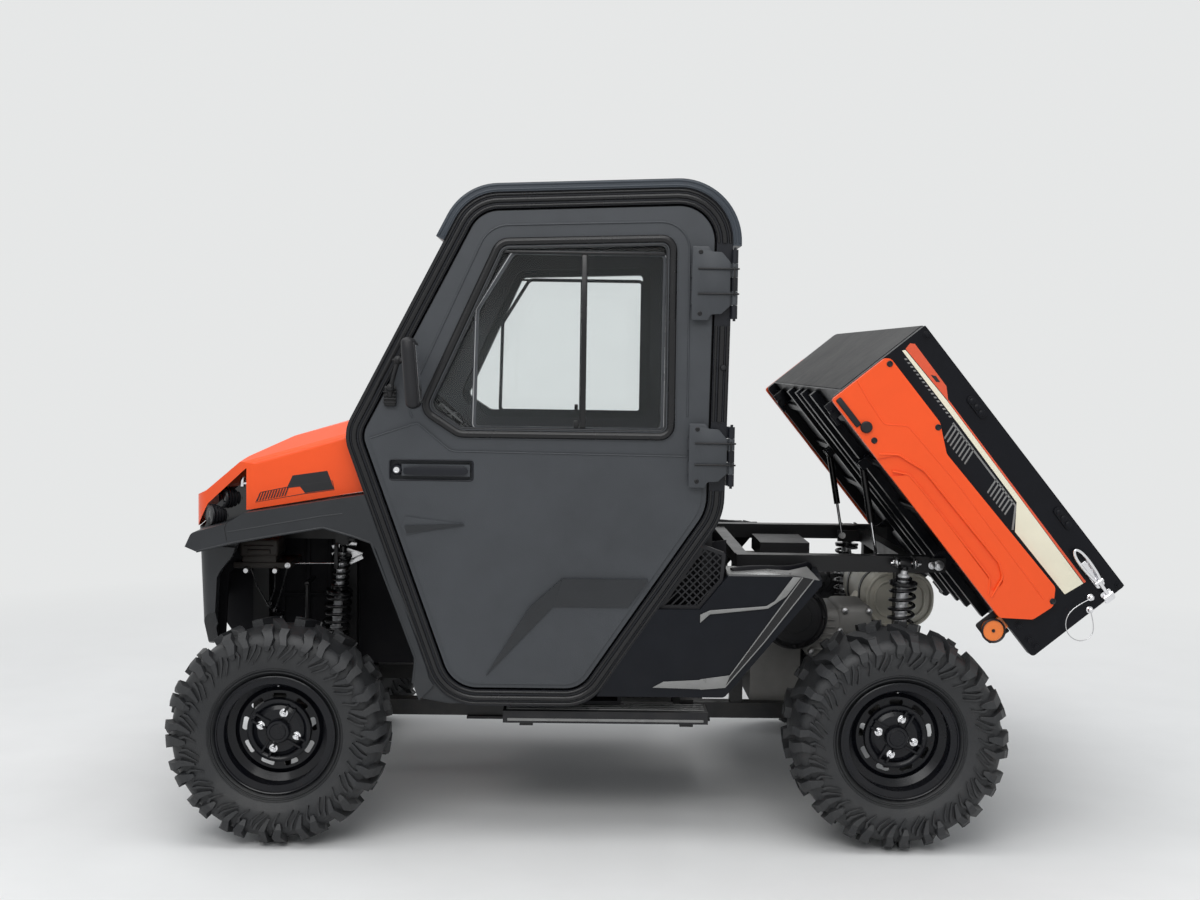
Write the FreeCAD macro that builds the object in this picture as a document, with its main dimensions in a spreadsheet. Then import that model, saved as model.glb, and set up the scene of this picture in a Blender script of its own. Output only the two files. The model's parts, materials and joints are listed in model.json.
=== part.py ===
import FreeCAD, Part
import math
import os
import re

# Side by side utility vehicle with a closed cab and a raised tipping bed.
# Millimetres. The vehicle faces -X, its left side is -Y and +Z is up.
# The origin lies on the ground, under the middle of the vehicle.

V = FreeCAD.Vector
doc = FreeCAD.newDocument("side_by_side_utv")

SIZES = [
    ("wheelbase", 1800, "front axle to rear axle"),
    ("front_axle_x", -1054, "place of the front axle"),
    ("tyre_radius", 325, "outer radius over the lugs"),
    ("lug_height", 22, "lug above the carcass"),
    ("lug_count", 16, "lugs on each half of the tread"),
    ("lug_width", 44, "width of a lug"),
    ("lug_slant", 24, "lean of a lug from the wheel's axis in degrees"),
    ("front_tyre_width", 224, "width of a front tyre"),
    ("rear_tyre_width", 272, "width of a rear tyre"),
    ("front_wheel_y", 682, "middle of a front tyre from the centre line"),
    ("rear_wheel_y", 658, "middle of a rear tyre from the centre line"),
    ("rim_seat_radius", 152, "radius of the tyre bead seat"),
    ("rim_lip_height", 19, "rim lip above the bead seat"),
    ("rim_sheet", 4, "thickness of the rim's sheet"),
    ("rim_tuck", 22, "tyre sidewall beyond the rim lip"),
    ("disc_y", 716, "outer face of the wheel discs from the centre line"),
    ("kingpin_y", 620, "steering axis from the centre line"),
    ("kingpin_radius", 9, "kingpin radius"),
    ("running_fit", 0.05, "radial play of a shaft in its bore"),
    ("steer_arm", 90, "steering arm length"),
    ("ball_spread", 86, "ball joint above or below the hub centre"),
    ("door_thickness", 40, "door, outer face to inner face"),
    ("door_gap", 7, "gap between a door and its frame"),
    ("door_swell", 4, "lower door skin proud of the window frame"),
    ("gasket_width", 28, "rubber round the window"),
    ("slider_bar", 12, "frame of the sliding window"),
    ("glass_recess", 28.7, "depth of the window frame behind the door's face"),
    ("ring_width", 46, "width of the door frame seen from the side"),
    ("cab_half_width", 737, "outer face of the door frames"),
    ("ring_depth", 72, "depth of the door frames"),
    ("sheet_wall", 6, "thickness of moulded panels"),
    ("glass_thickness", 5, "thickness of the panes"),
    ("seat_gap", 0.3, "gap where a part seats on another"),
    ("hinge_x", 241, "door hinge axis along the vehicle"),
    ("hinge_y", "=cab_half_width + 21", "door hinge axis from the centre line"),
    ("hinge_pin_radius", 4, "radius of the door hinge pins"),
    ("bed_pivot_x", "=front_axle_x + wheelbase + 181", "tipping axis of the bed"),
    ("bed_pivot_z", 793, "height of the tipping axis"),
    ("bed_raise", 51, "angle of the raised bed in degrees"),
    ("bed_front_x", "=front_axle_x + wheelbase - 471", "front of the lowered bed"),
    ("bed_length", 962, "length of the bed"),
    ("bed_bottom_z", 814, "underside of the lowered bed"),
    ("bed_top_z", 1153, "upper edge of the lowered bed"),
    ("bed_half_width", 716, "outer face of the bed's steel sides"),
    ("bed_floor_z", 848, "underside of the bed's floor sheet"),
    ("bed_sheet", 4, "thickness of the bed's sheet"),
    ("bed_panel_thickness", 20, "moulded panel on the bed's side"),
    ("bed_panel_groove", 6, "depth of the groove in the bed's side panel"),
    ("bed_side_box", 34, "depth of the double bed sides"),
    ("pivot_pin_radius", 12, "tipping pin radius"),
    ("strut_y", 300, "gas struts from the centre line"),
    ("rail_z", 268, "underside of the main rails"),
    ("rail_height", 50, "height of the main rails"),
    ("rail_y", 260, "main rails from the centre line"),
    ("rail_width", 50, "width of the frame tubes"),
    ("upper_rail_y", 420, "bed rails from the centre line"),
    ("upper_rail_z", 770, "underside of the bed rails"),
    ("floor_z", 400, "underside of the cab floor"),
    ("roof_thickness", 24, "thickness of the roof cap"),
    ("ball_offset", 40, "wishbone end beyond the knuckle's eye"),
    ("cab_inner", "=cab_half_width - ring_depth - seat_gap", "half width between the door frames"),
    ("fender_inner_y", 600.5, "inner side of the fenders from the centre line"),
    ("fender_depth", 139.5, "width of a fender"),
    ("hood_slope", 0.29, "fall of the hood towards the front"),
    ("mask_lean", 0.04, "forward lean of the front mask"),
    ("mask_half_width", 640, "half width of the front mask"),
    ("grille_bar", 4, "width of a bar of the vent's mesh"),
    ("belly_half_width", 300, "half width of the belly sheet"),
    ("hitch_pin_hole", 10.5, "radius of the hole for the tow ball"),
]

sheet = doc.addObject("Spreadsheet::Sheet", "Sizes")
for row, (alias, value, note) in enumerate(SIZES, start=1):
    sheet.set("A%d" % row, note)
    sheet.set("B%d" % row, str(value))
    sheet.setAlias("B%d" % row, alias)
doc.recompute()


class Values:
    """The sheet's cells as plain numbers."""


size = Values()
for alias, value, note in SIZES:
    setattr(size, alias, float(sheet.get(alias)))

rear_axle_x = size.front_axle_x + size.wheelbase
hub_z = size.tyre_radius
rail_top = size.rail_z + size.rail_height


# Outlines

def offset_path(points, distance, closed=True):
    """The points moved sideways by a distance, to the left of the direction of travel."""
    moved = []
    count = len(points)
    for index, point in enumerate(points):
        x, y = point[0], point[1]
        before = points[index - 1] if closed or index > 0 else None
        after = points[(index + 1) % count] if closed or index < count - 1 else None
        normals = []
        for start, end in ((before, point), (point, after)):
            if start is None or end is None:
                continue
            dx, dy = end[0] - start[0], end[1] - start[1]
            length = math.hypot(dx, dy)
            normals.append((-dy / length, dx / length))
        if len(normals) == 1:
            nx, ny = normals[0]
            scale = distance
        else:
            nx, ny = normals[0][0] + normals[1][0], normals[0][1] + normals[1][1]
            length = math.hypot(nx, ny)
            nx, ny = nx / length, ny / length
            scale = distance / (nx * normals[0][0] + ny * normals[0][1])
        turn_radius = point[2:]
        if turn_radius and len(normals) == 2:
            (ax, ay), (bx, by) = normals
            left_turn = ay * bx - ax * by < 0
            change = -distance if left_turn else distance
            turn_radius = (max(turn_radius[0] + change, 0.0),)
        moved.append((x + nx * scale, y + ny * scale) + tuple(turn_radius))
    return moved


def rounded(points):
    """Lines and tangent arcs of a closed outline. A corner is (x, y) or (x, y, radius)."""
    count = len(points)
    corners = [V(p[0], p[1], 0) for p in points]
    reach = []
    for index, point in enumerate(points):
        radius = point[2] if len(point) > 2 else 0.0
        back = (corners[index - 1] - corners[index]).normalize()
        ahead = (corners[(index + 1) % count] - corners[index]).normalize()
        angle = back.getAngle(ahead)
        reach.append(radius / math.tan(angle / 2) if radius > 0 else 0.0)
    lengths = [corners[i].distanceToPoint(corners[(i + 1) % count]) for i in range(count)]
    for index in range(count):
        following = (index + 1) % count
        total = reach[index] + reach[following]
        if total > lengths[index] * 0.98:
            shrink = lengths[index] * 0.98 / total
            reach[index] *= shrink
            reach[following] *= shrink
    starts, ends, middles = [], [], []
    for index in range(count):
        corner = corners[index]
        back = (corners[index - 1] - corner).normalize()
        ahead = (corners[(index + 1) % count] - corner).normalize()
        starts.append(corner + back * reach[index])
        ends.append(corner + ahead * reach[index])
        if reach[index] > 1e-6:
            angle = back.getAngle(ahead)
            radius = reach[index] * math.tan(angle / 2)
            centre_way = (back + ahead).normalize()
            centre = corner + centre_way * (radius / math.sin(angle / 2))
            middles.append(centre - centre_way * radius)
        else:
            middles.append(None)
    curves = []
    for index in range(count):
        following = (index + 1) % count
        if middles[index] is not None:
            curves.append(Part.Arc(starts[index], middles[index], ends[index]))
        if ends[index].distanceToPoint(starts[following]) > 1e-6:
            curves.append(Part.LineSegment(ends[index], starts[following]))
    return curves


# Building blocks

def bound(text):
    """An expression on the sheet, from words and numbers."""
    return re.sub(r"([A-Za-z_][A-Za-z_0-9]*)", r"Sizes.\1", str(text))


def new_body(label):
    body = doc.addObject("PartDesign::Body", label)
    body.Label = label
    return body


def add_sketch(body, name, plane, outlines, offset=None):
    """A sketch on one of the body's own planes, at an offset from the sheet."""
    sketch = body.newObject("Sketcher::SketchObject", name)
    origin = [item for item in body.Origin.OriginFeatures if item.Role == plane + "_Plane"][0]
    sketch.AttachmentSupport = [(origin, "")]
    sketch.MapMode = "FlatFace"
    if offset is not None:
        sketch.setExpression("AttachmentOffset.Base.z", bound(offset))
    for outline in outlines:
        for curve in rounded(outline):
            sketch.addGeometry(curve, False)
    return sketch


def add_pad(body, name, plane, outlines, length, offset=None, middle=False):
    """A pad towards -Y from an XZ plane, +X from YZ or +Z from XY."""
    sketch = add_sketch(body, name + "_outline", plane, outlines, offset)
    pad = body.newObject("PartDesign::Pad", name)
    pad.Profile = sketch
    pad.setExpression("Length", bound(length))
    if middle:
        pad.Midplane = True
    body.Tip = pad
    return pad


def padded(label, plane, outlines, length, offset=None, middle=False):
    body = new_body(label)
    add_pad(body, label + "_pad", plane, outlines, length, offset, middle)
    return body


def add_pocket(body, name, plane, outlines, length, offset=None, reverse=False, middle=False):
    sketch = add_sketch(body, name + "_outline", plane, outlines, offset)
    pocket = body.newObject("PartDesign::Pocket", name)
    pocket.Profile = sketch
    pocket.setExpression("Length", bound(length))
    pocket.Reversed = reverse
    pocket.Midplane = middle
    body.Tip = pocket
    return pocket


def revolved(label, profile):
    """A body turned about the Y axis. The profile's corners are (y, radius)."""
    body = new_body(label)
    sketch = add_sketch(body, label + "_profile", "YZ", [profile])
    turn = body.newObject("PartDesign::Revolution", label + "_turn")
    turn.Profile = sketch
    turn.ReferenceAxis = (sketch, ["H_Axis"])
    turn.Angle = 360
    body.Tip = turn
    return body


def polar(body, name, features, count):
    """Copies of features about the body's Y axis."""
    pattern = body.newObject("PartDesign::PolarPattern", name)
    pattern.Originals = features
    axis = [item for item in body.Origin.OriginFeatures if item.Role == "Y_Axis"][0]
    pattern.Axis = (axis, [""])
    pattern.Angle = 360
    pattern.setExpression("Occurrences", bound(count))
    body.Tip = pattern
    return pattern


def block(label, x, y, z):
    """A box between two expressions along each axis."""
    item = doc.addObject("Part::Box", label)
    item.Label = label
    for side, axis, (low, high) in (("Length", "x", x), ("Width", "y", y), ("Height", "z", z)):
        item.setExpression(side, "(%s) - (%s)" % (bound(high), bound(low)))
        item.setExpression("Placement.Base." + axis, bound(low))
    return item


def rod(label, start, end, radius):
    """A round bar from point to point."""
    item = doc.addObject("Part::Cylinder", label)
    item.Label = label
    way = V(*end) - V(*start)
    item.Radius = radius
    item.Height = way.Length
    item.Placement = FreeCAD.Placement(V(*start), FreeCAD.Rotation(V(0, 0, 1), way))
    return item


def beam(label, start, end, width, height):
    """A rectangular bar from point to point, its width kept level."""
    item = doc.addObject("Part::Box", label)
    item.Label = label
    way = V(*end) - V(*start)
    item.Length = way.Length
    item.Width = width
    item.Height = height
    side = V(0, 0, 1).cross(way)
    if side.Length < 1e-6:
        side = V(0, 1, 0)
    side.normalize()
    up = way.cross(side)
    up.normalize()
    turn = FreeCAD.Rotation(way, side, up, "XZY")
    corner = V(*start) - side * (width / 2) - up * (height / 2)
    item.Placement = FreeCAD.Placement(corner, turn)
    return item


def flip(label, source):
    item = doc.addObject("Part::Mirroring", label)
    item.Label = label
    item.Source = source
    item.Normal = (0, 1, 0)
    item.Base = (0, 0, 0)
    return item


def fuse(label, parts):
    item = doc.addObject("Part::MultiFuse", label)
    item.Label = label
    item.Shapes = parts
    return item


def common(label, parts):
    item = doc.addObject("Part::MultiCommon", label)
    item.Label = label
    item.Shapes = parts
    return item


def cut(label, base, tool):
    item = doc.addObject("Part::Cut", label)
    item.Label = label
    item.Base = base
    item.Tool = tool
    return item


def group(label, parts):
    item = doc.addObject("Part::Compound", label)
    item.Label = label
    item.Links = parts
    return item


def both_sides(label, half):
    """The left piece and its mirror image."""
    return group(label, [half, flip(label + "_right_half", half)])


def place(item, x=0.0, y=0.0, z=0.0):
    item.Placement = FreeCAD.Placement(V(x, y, z), FreeCAD.Rotation())
    return item


def raise_bed(item):
    """Turns a piece of the lowered bed to the raised place."""
    pivot = V(size.bed_pivot_x, 0, size.bed_pivot_z)
    turn = FreeCAD.Rotation(V(0, 1, 0), size.bed_raise)
    item.Placement = FreeCAD.Placement(V(0, 0, 0), turn, pivot).multiply(item.Placement)
    return item


# Wheels

yz_plane = FreeCAD.Rotation(V(0, 1, 0), V(0, 0, 1), V(1, 0, 0), "XYZ")


def ring_of_flats(label, stations, count):
    """A ring of flat faces about the Y axis. A station is (y, radius to the middle of a flat)."""
    corner = 1 / math.cos(math.pi / count)
    loops = []
    for y, radius in stations:
        angles = [(index + 0.5) * 2 * math.pi / count for index in range(count)]
        loops.append([V(radius * corner * math.sin(a), y, radius * corner * math.cos(a)) for a in angles])
    faces = []
    for first, second in zip(loops, loops[1:] + loops[:1]):
        for index in range(count):
            corners = [first[index], first[index - 1], second[index - 1], second[index], first[index]]
            faces.append(Part.Face(Part.makePolygon(corners)))
    solid = Part.Solid(Part.Shell(faces))
    if solid.Volume < 0:
        solid.reverse()
    item = doc.addObject("Part::Feature", label)
    item.Shape = solid
    return item


def lug_reach(y, height_limit):
    """Height of a slanted lug's corner at a distance from the tread's middle, inside the outer radius."""
    slant = math.radians(size.lug_slant)
    sideways = y * math.sin(slant) + size.lug_width / 2
    return min(math.sqrt(size.tyre_radius ** 2 - sideways ** 2), height_limit)


def build_tyre(label, width, x, y):
    """Carcass of flats with two rows of slanted lugs that run over the shoulder."""
    half = width / 2 - 4
    tread = size.tyre_radius - size.lug_height
    seat = size.rim_seat_radius + size.seat_gap
    lip = size.rim_seat_radius + size.rim_lip_height
    bead = width / 2 - size.rim_tuck - 14
    side = [(bead, seat), (bead, lip + 5), (half - 5, lip + 40), (half - 2, tread - 36), (half - 38, tread)]
    stations = side + [(-py, radius) for py, radius in reversed(side)]
    carcass = ring_of_flats(label + "_carcass", stations, int(size.lug_count * 2))
    body = new_body(label)
    body.BaseFeature = carcass
    top = lug_reach(6, size.tyre_radius - 1.5)
    edge = lug_reach(half - 20, top)
    lug = [(6, tread - 8), (6, top), (half - 20, edge), (half + 3, edge - 34), (half - 8, tread - 44)]
    lugs = []
    for name, way, turn in (("left", 1, 0.0), ("right", -1, 180.0 / size.lug_count)):
        outline = [(way * py, pr) for py, pr in lug]
        sketch = add_sketch(body, "%s_lug_%s_outline" % (label, name), "YZ", [outline])
        lean = FreeCAD.Rotation(V(0, 1, 0), turn) * FreeCAD.Rotation(V(0, 0, 1), way * size.lug_slant)
        sketch.AttachmentOffset = FreeCAD.Placement(V(0, 0, 0), yz_plane.inverted() * lean * yz_plane)
        pad = body.newObject("PartDesign::Pad", "%s_lug_%s" % (label, name))
        pad.Profile = sketch
        pad.setExpression("Length", bound("lug_width"))
        pad.Midplane = True
        body.Tip = pad
        lugs.append(pad)
    doc.recompute()
    polar(body, label + "_lugs", lugs, "lug_count")
    return place(body, x, -y, hub_z)


def build_rim(label, width, x, y):
    """Drop centre rim with a slotted disc, and the hub with its spindle."""
    half = width / 2 - size.rim_tuck
    seat = size.rim_seat_radius
    lip = seat + size.rim_lip_height
    drop = seat - 20
    face = size.disc_y - y
    barrel = [(-half, lip), (-half + 5, lip), (-half + 9, seat), (-face - 2, seat),
              (-face + 12, drop), (-face + 44, drop), (-face + 60, seat),
              (half - 9, seat), (half - 5, lip), (half, lip)]
    inner = [(py, radius - size.rim_sheet) for py, radius in barrel]
    body = revolved(label + "_wheel", barrel + list(reversed(inner)))
    disc = [(-face, 34), (-face, 62), (-face + 12, 82), (-face + 12, 116), (-face + 24, drop - 1)]
    thick = [(py + 5, radius) for py, radius in disc]
    disc_sketch = add_sketch(body, label + "_disc_profile", "YZ", [disc + list(reversed(thick))])
    disc_turn = body.newObject("PartDesign::Revolution", label + "_disc")
    disc_turn.Profile = disc_sketch
    disc_turn.ReferenceAxis = (disc_sketch, ["H_Axis"])
    disc_turn.Angle = 360
    body.Tip = disc_turn
    doc.recompute()
    slot = [(-19, 92, 7), (19, 92, 7), (21, 108, 7), (-21, 108, 7)]
    pocket = add_pocket(body, label + "_slot", "XZ", [slot], "60", str(face - 40))
    pocket.Reversed = True
    doc.recompute()
    polar(body, label + "_slots", [pocket], "9")
    place(body, x, -y, hub_z)
    return body


def build_hub(label, x):
    """Flange against the disc, spindle in the carrier and the shaft joint on the kingpin axis."""
    flange_in = size.disc_y - 12
    ball = size.kingpin_y
    spindle_in = ball + 36
    profile = [(-size.disc_y - 14, 0), (-size.disc_y - 14, 24), (-size.disc_y - 8, 30), (-size.disc_y + 5, 30),
               (-size.disc_y + 5, 60), (-flange_in + 4, 60), (-flange_in + 4, 20), (-spindle_in, 20),
               (-ball - 30, 30), (-ball - 20, 36), (-ball + 20, 36), (-ball + 34, 20), (-ball + 34, 0)]
    body = revolved(label, profile)
    place(body, x, 0, hub_z)
    return body


wheels = []
for end, x, y, width in (
        ("front", size.front_axle_x, size.front_wheel_y, size.front_tyre_width),
        ("rear", rear_axle_x, size.rear_wheel_y, size.rear_tyre_width)):
    tyre = build_tyre("tyre_%s_left" % end, width, x, y)
    wheel = build_rim("rim_%s_left" % end, width, x, y)
    hub = build_hub("hub_%s_left" % end, x)
    rim = group("rim_%s_left" % end, [wheel, hub])
    rim.Label = "rim_%s_left" % end
    wheels += [tyre, rim, flip("tyre_%s_right" % end, tyre), flip("rim_%s_right" % end, rim)]


# Steering knuckles, arms and shafts

steer_eye_low = 44

def build_knuckle(label):
    """C shaped knuckle: two eyes on the kingpin axis and a bearing housing outboard."""
    x, y, z = size.front_axle_x, -size.kingpin_y, hub_z
    spread = size.ball_spread
    side = [(y + 20, z + spread + 16), (y - 66, z + spread + 16, 14), (y - 66, z - spread - 16, 14),
            (y + 20, z - spread - 16), (y + 20, z - spread + 12), (y - 46, z - spread + 12, 10),
            (y - 46, z + spread - 12, 10), (y + 20, z + spread - 12)]
    web = new_body(label + "_web")
    add_pad(web, label + "_web_pad", "YZ", [side], "44", str(x - 22))
    housing = rod(label + "_housing", (x, y - 46, z), (x, y - 76, z), 42)
    low, high = z + steer_eye_low, z + steer_eye_low + 14
    shelf = block(label + "_shelf", (x - 22, x + 22), (y - 60, y + 14), (low, high))
    arm = block(label + "_arm", (x, x + size.steer_arm), (y - 14, y + 14), (low, high))
    eye = rod(label + "_eye", (x + size.steer_arm, y, low), (x + size.steer_arm, y, high), 16)
    solid = fuse(label + "_solid", [web, housing, shelf, arm, eye])
    bearing = rod(label + "_bearing", (x, y + 40, z), (x, y - 90, z), 20 + size.running_fit)
    pins = [rod(label + "_bore_%d" % i, (x, y, z + low), (x, y, z + high),
                size.kingpin_radius + size.running_fit)
            for i, (low, high) in enumerate(((spread - 20, spread + 30), (-spread - 30, -spread + 20)))]
    return cut(label, solid, fuse(label + "_bores", [bearing] + pins))


knuckle_left = build_knuckle("knuckle_left")
knuckle_right = flip("knuckle_right", knuckle_left)


def arm_half(label, x, ball_y, pivot_y, ball_z, pivot_z, spread):
    """One wishbone of round tube: a short stem at the ball joint, then two legs."""
    fork_y = ball_y + 95
    fork_z = ball_z + (pivot_z - ball_z) * 95 / (pivot_y - ball_y)
    stem = rod(label + "_stem", (x, ball_y, ball_z), (x, fork_y, fork_z), 13)
    legs = [rod(label + "_leg_%d" % i, (x, fork_y, fork_z), (x + way * spread, pivot_y, pivot_z), 13)
            for i, way in enumerate((-1, 1))]
    ball = doc.addObject("Part::Sphere", label + "_ball")
    ball.Radius = 13
    ball.Placement.Base = V(x, fork_y, fork_z)
    ends = spread + 22
    bush = rod(label + "_bush", (x - ends, pivot_y, pivot_z), (x + ends, pivot_y, pivot_z), 16)
    return [stem, ball, bush] + legs


arm_pivot_y = -size.rail_y - size.rail_width / 2 - 16 - size.seat_gap
upper_pivot_z = hub_z + 110
lower_pivot_z = size.rail_z + size.rail_height / 2


def front_arms():
    x, y = size.front_axle_x, -size.kingpin_y
    pieces = []
    for name, sign, pivot_z in (("upper", 1, upper_pivot_z), ("lower", -1, lower_pivot_z)):
        ball_z = hub_z + sign * (size.ball_spread + size.ball_offset)
        label = "front_arm_" + name
        pieces += arm_half(label, x, y, arm_pivot_y, ball_z, pivot_z, 130)
        low = hub_z + sign * (size.ball_spread - 14)
        pieces.append(rod(label + "_kingpin", (x, y, low), (x, y, ball_z), size.kingpin_radius))
        pieces.append(rod(label + "_collar", (x, y, ball_z - 13), (x, y, ball_z + 13), 17))
    return fuse("suspension_arms_front_left", pieces)


def rear_arms():
    x, y = rear_axle_x, -size.kingpin_y
    pieces = []
    for name, sign, pivot_z in (("upper", 1, upper_pivot_z), ("lower", -1, lower_pivot_z)):
        ball_z = hub_z + sign * size.ball_spread
        label = "rear_arm_" + name
        pieces += arm_half(label, x, y - 42, arm_pivot_y, ball_z, pivot_z, 130)
    carrier = block("rear_carrier", (x - 26, x + 26), (y - 60, y - 38),
                    (hub_z - size.ball_spread - 16, hub_z + size.ball_spread + 16))
    housing = rod("rear_housing", (x, y - 38, hub_z), (x, y - 76, hub_z), 42)
    solid = fuse("rear_arms_solid", pieces + [carrier, housing])
    bore = rod("rear_bearing", (x, y + 40, hub_z), (x, y - 90, hub_z), 20 + size.running_fit)
    return cut("suspension_arms_rear_left", solid, bore)


suspension_arms_front = both_sides("suspension_arms_front", front_arms())
suspension_arms_rear = both_sides("suspension_arms_rear", rear_arms())


def build_shaft(label, x, inner_y, end_y):
    """Drive shaft with the inner joint's boot."""
    profile = [(-inner_y, 0), (-inner_y, 42), (-inner_y - 40, 42), (-inner_y - 80, 22),
               (-inner_y - 84, 14), (-end_y, 14), (-end_y, 0)]
    body = revolved(label, profile)
    return place(body, x, 0, hub_z + 12)


shafts = []
gearcases = []
for end, x in (("front", size.front_axle_x), ("rear", rear_axle_x)):
    shaft = build_shaft("drive_shaft_" + end, x, 130, size.kingpin_y - 50)
    shafts += [shaft, flip("drive_shaft_%s_right" % end, shaft)]
    gearcases.append(block("gearcase_" + end, (x - 70, x + 60), (-129.7, 129.7),
                           (hub_z - 50, hub_z + 70)))
drive_shafts = group("drive_shafts", shafts)
final_drives = group("final_drives", gearcases)


# Frame

front_end_x = size.front_axle_x - 170
tail_x = size.bed_pivot_x + 40
tower_x = size.front_axle_x + 134
tower_z = 872
muffler_z = 633
rail_inner_y = size.rail_y - size.rail_width / 2
rail_outer_y = size.rail_y + size.rail_width / 2
bed_rail_inner_y = size.upper_rail_y - size.rail_width / 2
bed_rail_outer_y = size.upper_rail_y + size.rail_width / 2
bed_cross_front_x = size.bed_front_x + 50
bed_cross_rear_x = size.bed_pivot_x - 77
engine_x = rear_axle_x - 293


def left_block(label, x, y, z):
    """A box on the left side. Its y is measured from the centre line."""
    return block(label, x, (-y[1], -y[0]), z)


def build_rails():
    rail = left_block("main_rail", (front_end_x, tail_x), (rail_inner_y, rail_outer_y),
                      ("rail_z", "rail_z + rail_height"))
    return both_sides("frame_rails", rail)


def build_crosses():
    """Cross members between the main rails. The last one carries the muffler and the hitch."""
    half = size.rail_width / 2
    low, high = size.rail_z, rail_top
    members = []
    for name, x in (("nose", front_end_x + half), ("tower", tower_x), ("rear", engine_x + 107)):
        members.append(block("cross_" + name, (x - half, x + half), (-rail_inner_y, rail_inner_y), (low, high)))
    for name, x in (("front", size.front_axle_x), ("rear", rear_axle_x)):
        members.append(block("saddle_" + name, (x - 90, x - 70), (-rail_inner_y, rail_inner_y),
                             (low + 8, hub_z + 20)))
    tail = block("cross_tail", (tail_x - size.rail_width, tail_x), (-rail_inner_y, rail_inner_y), (low, high))
    bracket = block("muffler_bracket", (tail_x - 82, tail_x - 32), (-30, 30), (high - 5, muffler_z - 85))
    plate = block("hitch_plate", (tail_x - 30, tail_x + 85), (-40, 40), (low + 18, low + 30))
    hole = rod("hitch_hole", (tail_x + 60, 0, low), (tail_x + 60, 0, high), size.hitch_pin_hole)
    members.append(cut("cross_tail_drilled", fuse("cross_tail_solid", [tail, bracket, plate]), hole))
    return group("frame_crosses", members)


def build_uprights():
    """Front tower, the posts under the bed rails, the rear wishbones' posts and the outriggers."""
    half = size.rail_width / 2
    wide = (rail_inner_y, rail_outer_y)
    tower = fuse("tower", [
        left_block("tower_nose", (front_end_x, front_end_x + 50), wide, (rail_top, tower_z)),
        left_block("tower_post", (tower_x - half, tower_x + half), wide, (rail_top, tower_z)),
        left_block("tower_top", (front_end_x, tower_x + half), wide, (tower_z - 40, tower_z)),
        left_block("tower_shock_beam", (tower_x - 20, tower_x + 20), (rail_inner_y, 425), (tower_z - 40, tower_z))])
    posts = [left_block("bed_post_" + name, (x - 20, x + 20), (size.rail_y - 20, size.rail_y + 20),
                        (rail_top, "upper_rail_z"))
             for name, x in (("front", bed_cross_front_x), ("rear", bed_cross_rear_x))]
    arm_posts = [left_block("arm_post_%d" % index, (x - 12, x + 12), (rail_outer_y - 37, rail_outer_y),
                            (rail_top, upper_pivot_z + 20))
                 for index, x in enumerate((rear_axle_x - 140, rear_axle_x + 140))]
    outriggers = [left_block("outrigger_%d" % index, (x, x + 40), (rail_inner_y, 599.7), (rail_top, "floor_z"))
                  for index, x in enumerate((-360, 120))]
    return both_sides("frame_uprights", group("uprights_left", [tower] + posts + arm_posts + outriggers))


def build_bed_rails():
    """The rails that carry the bed, with the ears and the pin of the tipping joint."""
    rail = left_block("bed_rail", (size.bed_front_x + 25, size.bed_pivot_x - 30),
                      (bed_rail_inner_y, bed_rail_outer_y), ("upper_rail_z", "upper_rail_z + 50"))
    ears = [left_block("bed_ear_" + name, (size.bed_pivot_x - 60, size.bed_pivot_x + 22), (low, low + 10),
                       ("upper_rail_z", "bed_pivot_z + 22"))
            for name, low in (("inner", size.upper_rail_y - 20), ("outer", size.upper_rail_y + 10))]
    pin = rod("bed_pin", (size.bed_pivot_x, -size.upper_rail_y - 20, size.bed_pivot_z),
              (size.bed_pivot_x, -size.upper_rail_y + 20, size.bed_pivot_z), size.pivot_pin_radius)
    return both_sides("bed_rails", fuse("bed_rail_left", [rail, pin] + ears))


def build_bed_crosses():
    """Cross members between the bed rails. The rear one carries the struts' feet."""
    front, rear = [block("bed_cross_" + name, (x - 20, x + 20), (-bed_rail_inner_y, bed_rail_inner_y),
                         ("upper_rail_z", "upper_rail_z + 40"))
                   for name, x in (("front", bed_cross_front_x), ("rear", bed_cross_rear_x))]
    bracket = left_block("strut_bracket", (bed_cross_rear_x - 100, bed_cross_rear_x - 10),
                         (size.strut_y + 13.5, size.strut_y + 19.5), ("upper_rail_z", "upper_rail_z + 40"))
    rear_solid = fuse("bed_cross_rear_solid", [rear, bracket, flip("strut_bracket_right", bracket)])
    return group("bed_crosses", [front, rear_solid])


frame_rails = build_rails()
frame_crosses = build_crosses()
frame_uprights = build_uprights()
bed_rails = build_bed_rails()
bed_crosses = build_bed_crosses()


# Springs

def build_coilover(label, top, foot):
    """Spring with V grooves over a damper, turned about its own axis, with an eye at each end."""
    axis = V(*top) - V(*foot)
    length = axis.Length
    coils = 9
    low, high = length * 0.28, length * 0.84
    pitch = (high - low) / coils
    profile = [(0, 14), (10, 14), (low - 12, 14), (low - 12, 44), (low, 44)]
    for turn in range(coils):
        start = low + turn * pitch
        profile += [(start + pitch * 0.25, 44), (start + pitch * 0.5, 34), (start + pitch * 0.75, 44)]
    profile += [(high, 44), (high + 12, 44), (high + 12, 20), (length, 20)]
    wire = Part.makePolygon([V(0, 0, 0)] + [V(r, 0, h) for h, r in profile]
                            + [V(0, 0, length), V(0, 0, 0)])
    solid = Part.Face(wire).revolve(V(0, 0, 0), V(0, 0, 1), 360)
    solid = Part.Solid(solid) if solid.ShapeType != "Solid" else solid
    turn = FreeCAD.Rotation(V(0, 0, 1), axis)
    solid.Placement = FreeCAD.Placement(V(*foot), turn)
    item = doc.addObject("Part::Feature", label)
    item.Shape = solid
    return item


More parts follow.
